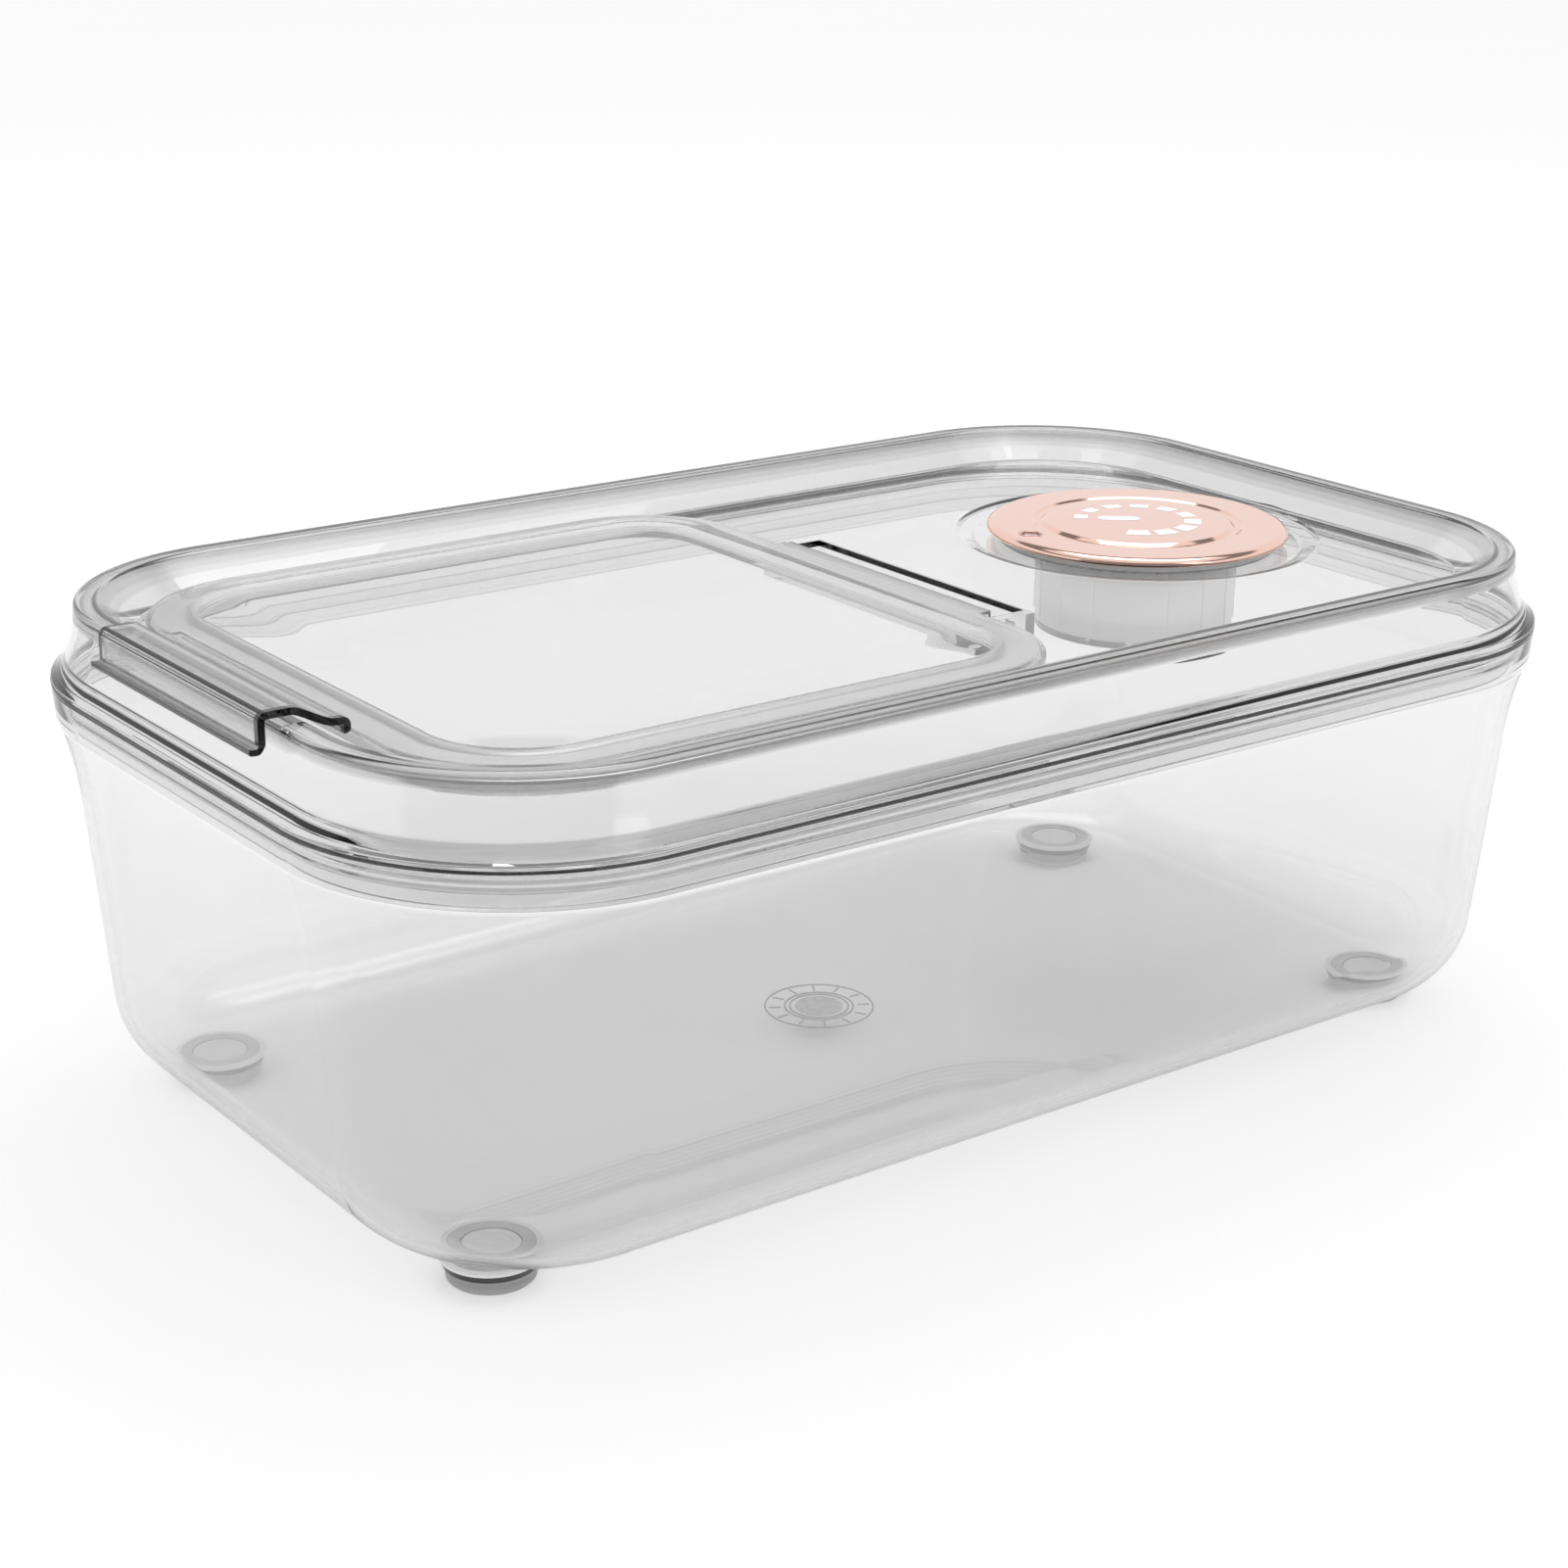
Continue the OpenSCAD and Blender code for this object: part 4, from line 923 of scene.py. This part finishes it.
lit = add(tree, "ShaderNodeAddShader", {0: matte.outputs[0], 1: glow.outputs[0]})
pure = add(tree, "ShaderNodeEmission", {"Color": PURE_WHITE, "Strength": 1.0})
ease = add(tree, "ShaderNodeMath", {0: path.outputs["Is Camera Ray"], 1: SHADOW_EASE}, operation="MULTIPLY")
surface = add(tree, "ShaderNodeMixShader", {0: ease.outputs[0], 1: lit.outputs[0], 2: pure.outputs[0]})
tree.links.new(surface.outputs[0], out.inputs["Surface"])
floor_mesh.materials.append(paper)

world = bpy.data.worlds.new("studio")
bpy.context.scene.world = world
world.use_nodes = True
tree = world.node_tree
tree.nodes.clear()
out = tree.nodes.new("ShaderNodeOutputWorld")
# What shines and bends light sees a white tent, open and dark towards the camera and above
TENT_OPEN_WIDE = 1.15
TENT_OPEN_HIGH = 0.8
TENT_ROOF = 0.62
TENT_DARK = 0.25
TENT_WALL = 0.94
TENT_CEILING = 0.80
ROOF_TONE = 0.25
ROOF_EDGE = 0.02
FILL_LIGHT = 0.88


def part_of(a, b, operation):
    return add(tree, "ShaderNodeMath", {0: a, 1: b}, operation=operation).outputs[0]


def soft_step(value, width=0.05):
    return add(tree, "ShaderNodeMapRange", {"Value": value, "From Min": -width, "From Max": width}).outputs[0]


direction = add(tree, "ShaderNodeTexCoord").outputs["Generated"]
height = add(tree, "ShaderNodeSeparateXYZ", {0: direction}).outputs["Z"]
forward = add(tree, "ShaderNodeVectorMath", {0: direction, 1: TOWARDS_CAMERA},
              operation="DOT_PRODUCT").outputs["Value"]
sideways = add(tree, "ShaderNodeVectorMath", {0: direction, 1: ACROSS},
               operation="DOT_PRODUCT").outputs["Value"]
aside = add(tree, "ShaderNodeMath", {0: sideways}, operation="ABSOLUTE").outputs[0]
open_wide = part_of(part_of(forward, TENT_OPEN_WIDE, "MULTIPLY"), aside, "SUBTRACT")
open_high = part_of(part_of(forward, TENT_OPEN_HIGH, "MULTIPLY"), height, "SUBTRACT")
opening = soft_step(part_of(open_wide, open_high, "MINIMUM"))
roof = part_of(soft_step(part_of(height, TENT_ROOF, "SUBTRACT"), ROOF_EDGE),
               soft_step(part_of(height, TENT_CEILING, "SUBTRACT"), ROOF_EDGE), "SUBTRACT")
roofed = add(tree, "ShaderNodeMapRange", {"Value": roof, "To Min": TENT_WALL, "To Max": ROOF_TONE}).outputs[0]
darkened = add(tree, "ShaderNodeMapRange", {"Value": opening, "To Min": 1.0, "To Max": TENT_DARK}).outputs[0]
tent = part_of(roofed, darkened, "MINIMUM")
seen = add(tree, "ShaderNodeBackground", {"Color": PURE_WHITE, "Strength": tent})
fill = add(tree, "ShaderNodeBackground", {"Color": PURE_WHITE, "Strength": FILL_LIGHT})
white = add(tree, "ShaderNodeBackground", {"Color": PURE_WHITE, "Strength": 1.0})
path, shiny = either_ray(tree, "Is Glossy Ray", "Is Transmission Ray")
mirrored = add(tree, "ShaderNodeMixShader", {0: shiny, 1: fill.outputs[0], 2: seen.outputs[0]})
shown = add(tree, "ShaderNodeMixShader",
            {0: path.outputs["Is Camera Ray"], 1: mirrored.outputs[0], 2: white.outputs[0]})
tree.links.new(shown.outputs[0], out.inputs["Surface"])


def softbox(name, place, aim, size, power):
    lamp = bpy.data.lights.new(name, "AREA")
    lamp.shape = "RECTANGLE"
    lamp.size, lamp.size_y = size
    lamp.energy = power
    light = bpy.data.objects.new(name, lamp)
    light.location = place
    light.rotation_euler = (Vector(aim) - Vector(place)).to_track_quat("-Z", "Y").to_euler()
    in_scene(light)


LIGHTS_AIM = (0, 0, 0.1)
softbox("top_box", (-0.5, 0.6, 1.9), LIGHTS_AIM, (1.2, 0.9), 8)
softbox("side_box", (1.4, 0.3, 1.1), LIGHTS_AIM, (0.5, 1.2), 2)

back = Vector((math.sin(CAMERA_TURN) * math.cos(CAMERA_RISE),
               -math.cos(CAMERA_TURN) * math.cos(CAMERA_RISE), math.sin(CAMERA_RISE)))
right = ACROSS
up = back.cross(right)
right, up = (right * math.cos(CAMERA_ROLL) + up * math.sin(CAMERA_ROLL),
             up * math.cos(CAMERA_ROLL) - right * math.sin(CAMERA_ROLL))
lens = bpy.data.cameras.new("camera")
lens.sensor_width = SENSOR
lens.lens = SENSOR * CAMERA_ZOOM
lens.shift_x, lens.shift_y = CAMERA_SHIFT
lens.clip_start = 0.01
camera = bpy.data.objects.new("camera", lens)
camera.matrix_world = Matrix.Translation(CAMERA_AIM + back * CAMERA_AWAY) @ Matrix(
    (right, up, back)).transposed().to_4x4()
bpy.context.scene.camera = in_scene(camera)
bpy.context.scene.view_settings.view_transform = "Standard"
cycles = bpy.context.scene.cycles
cycles.max_bounces = 32
cycles.transmission_bounces = 28
cycles.transparent_max_bounces = 32
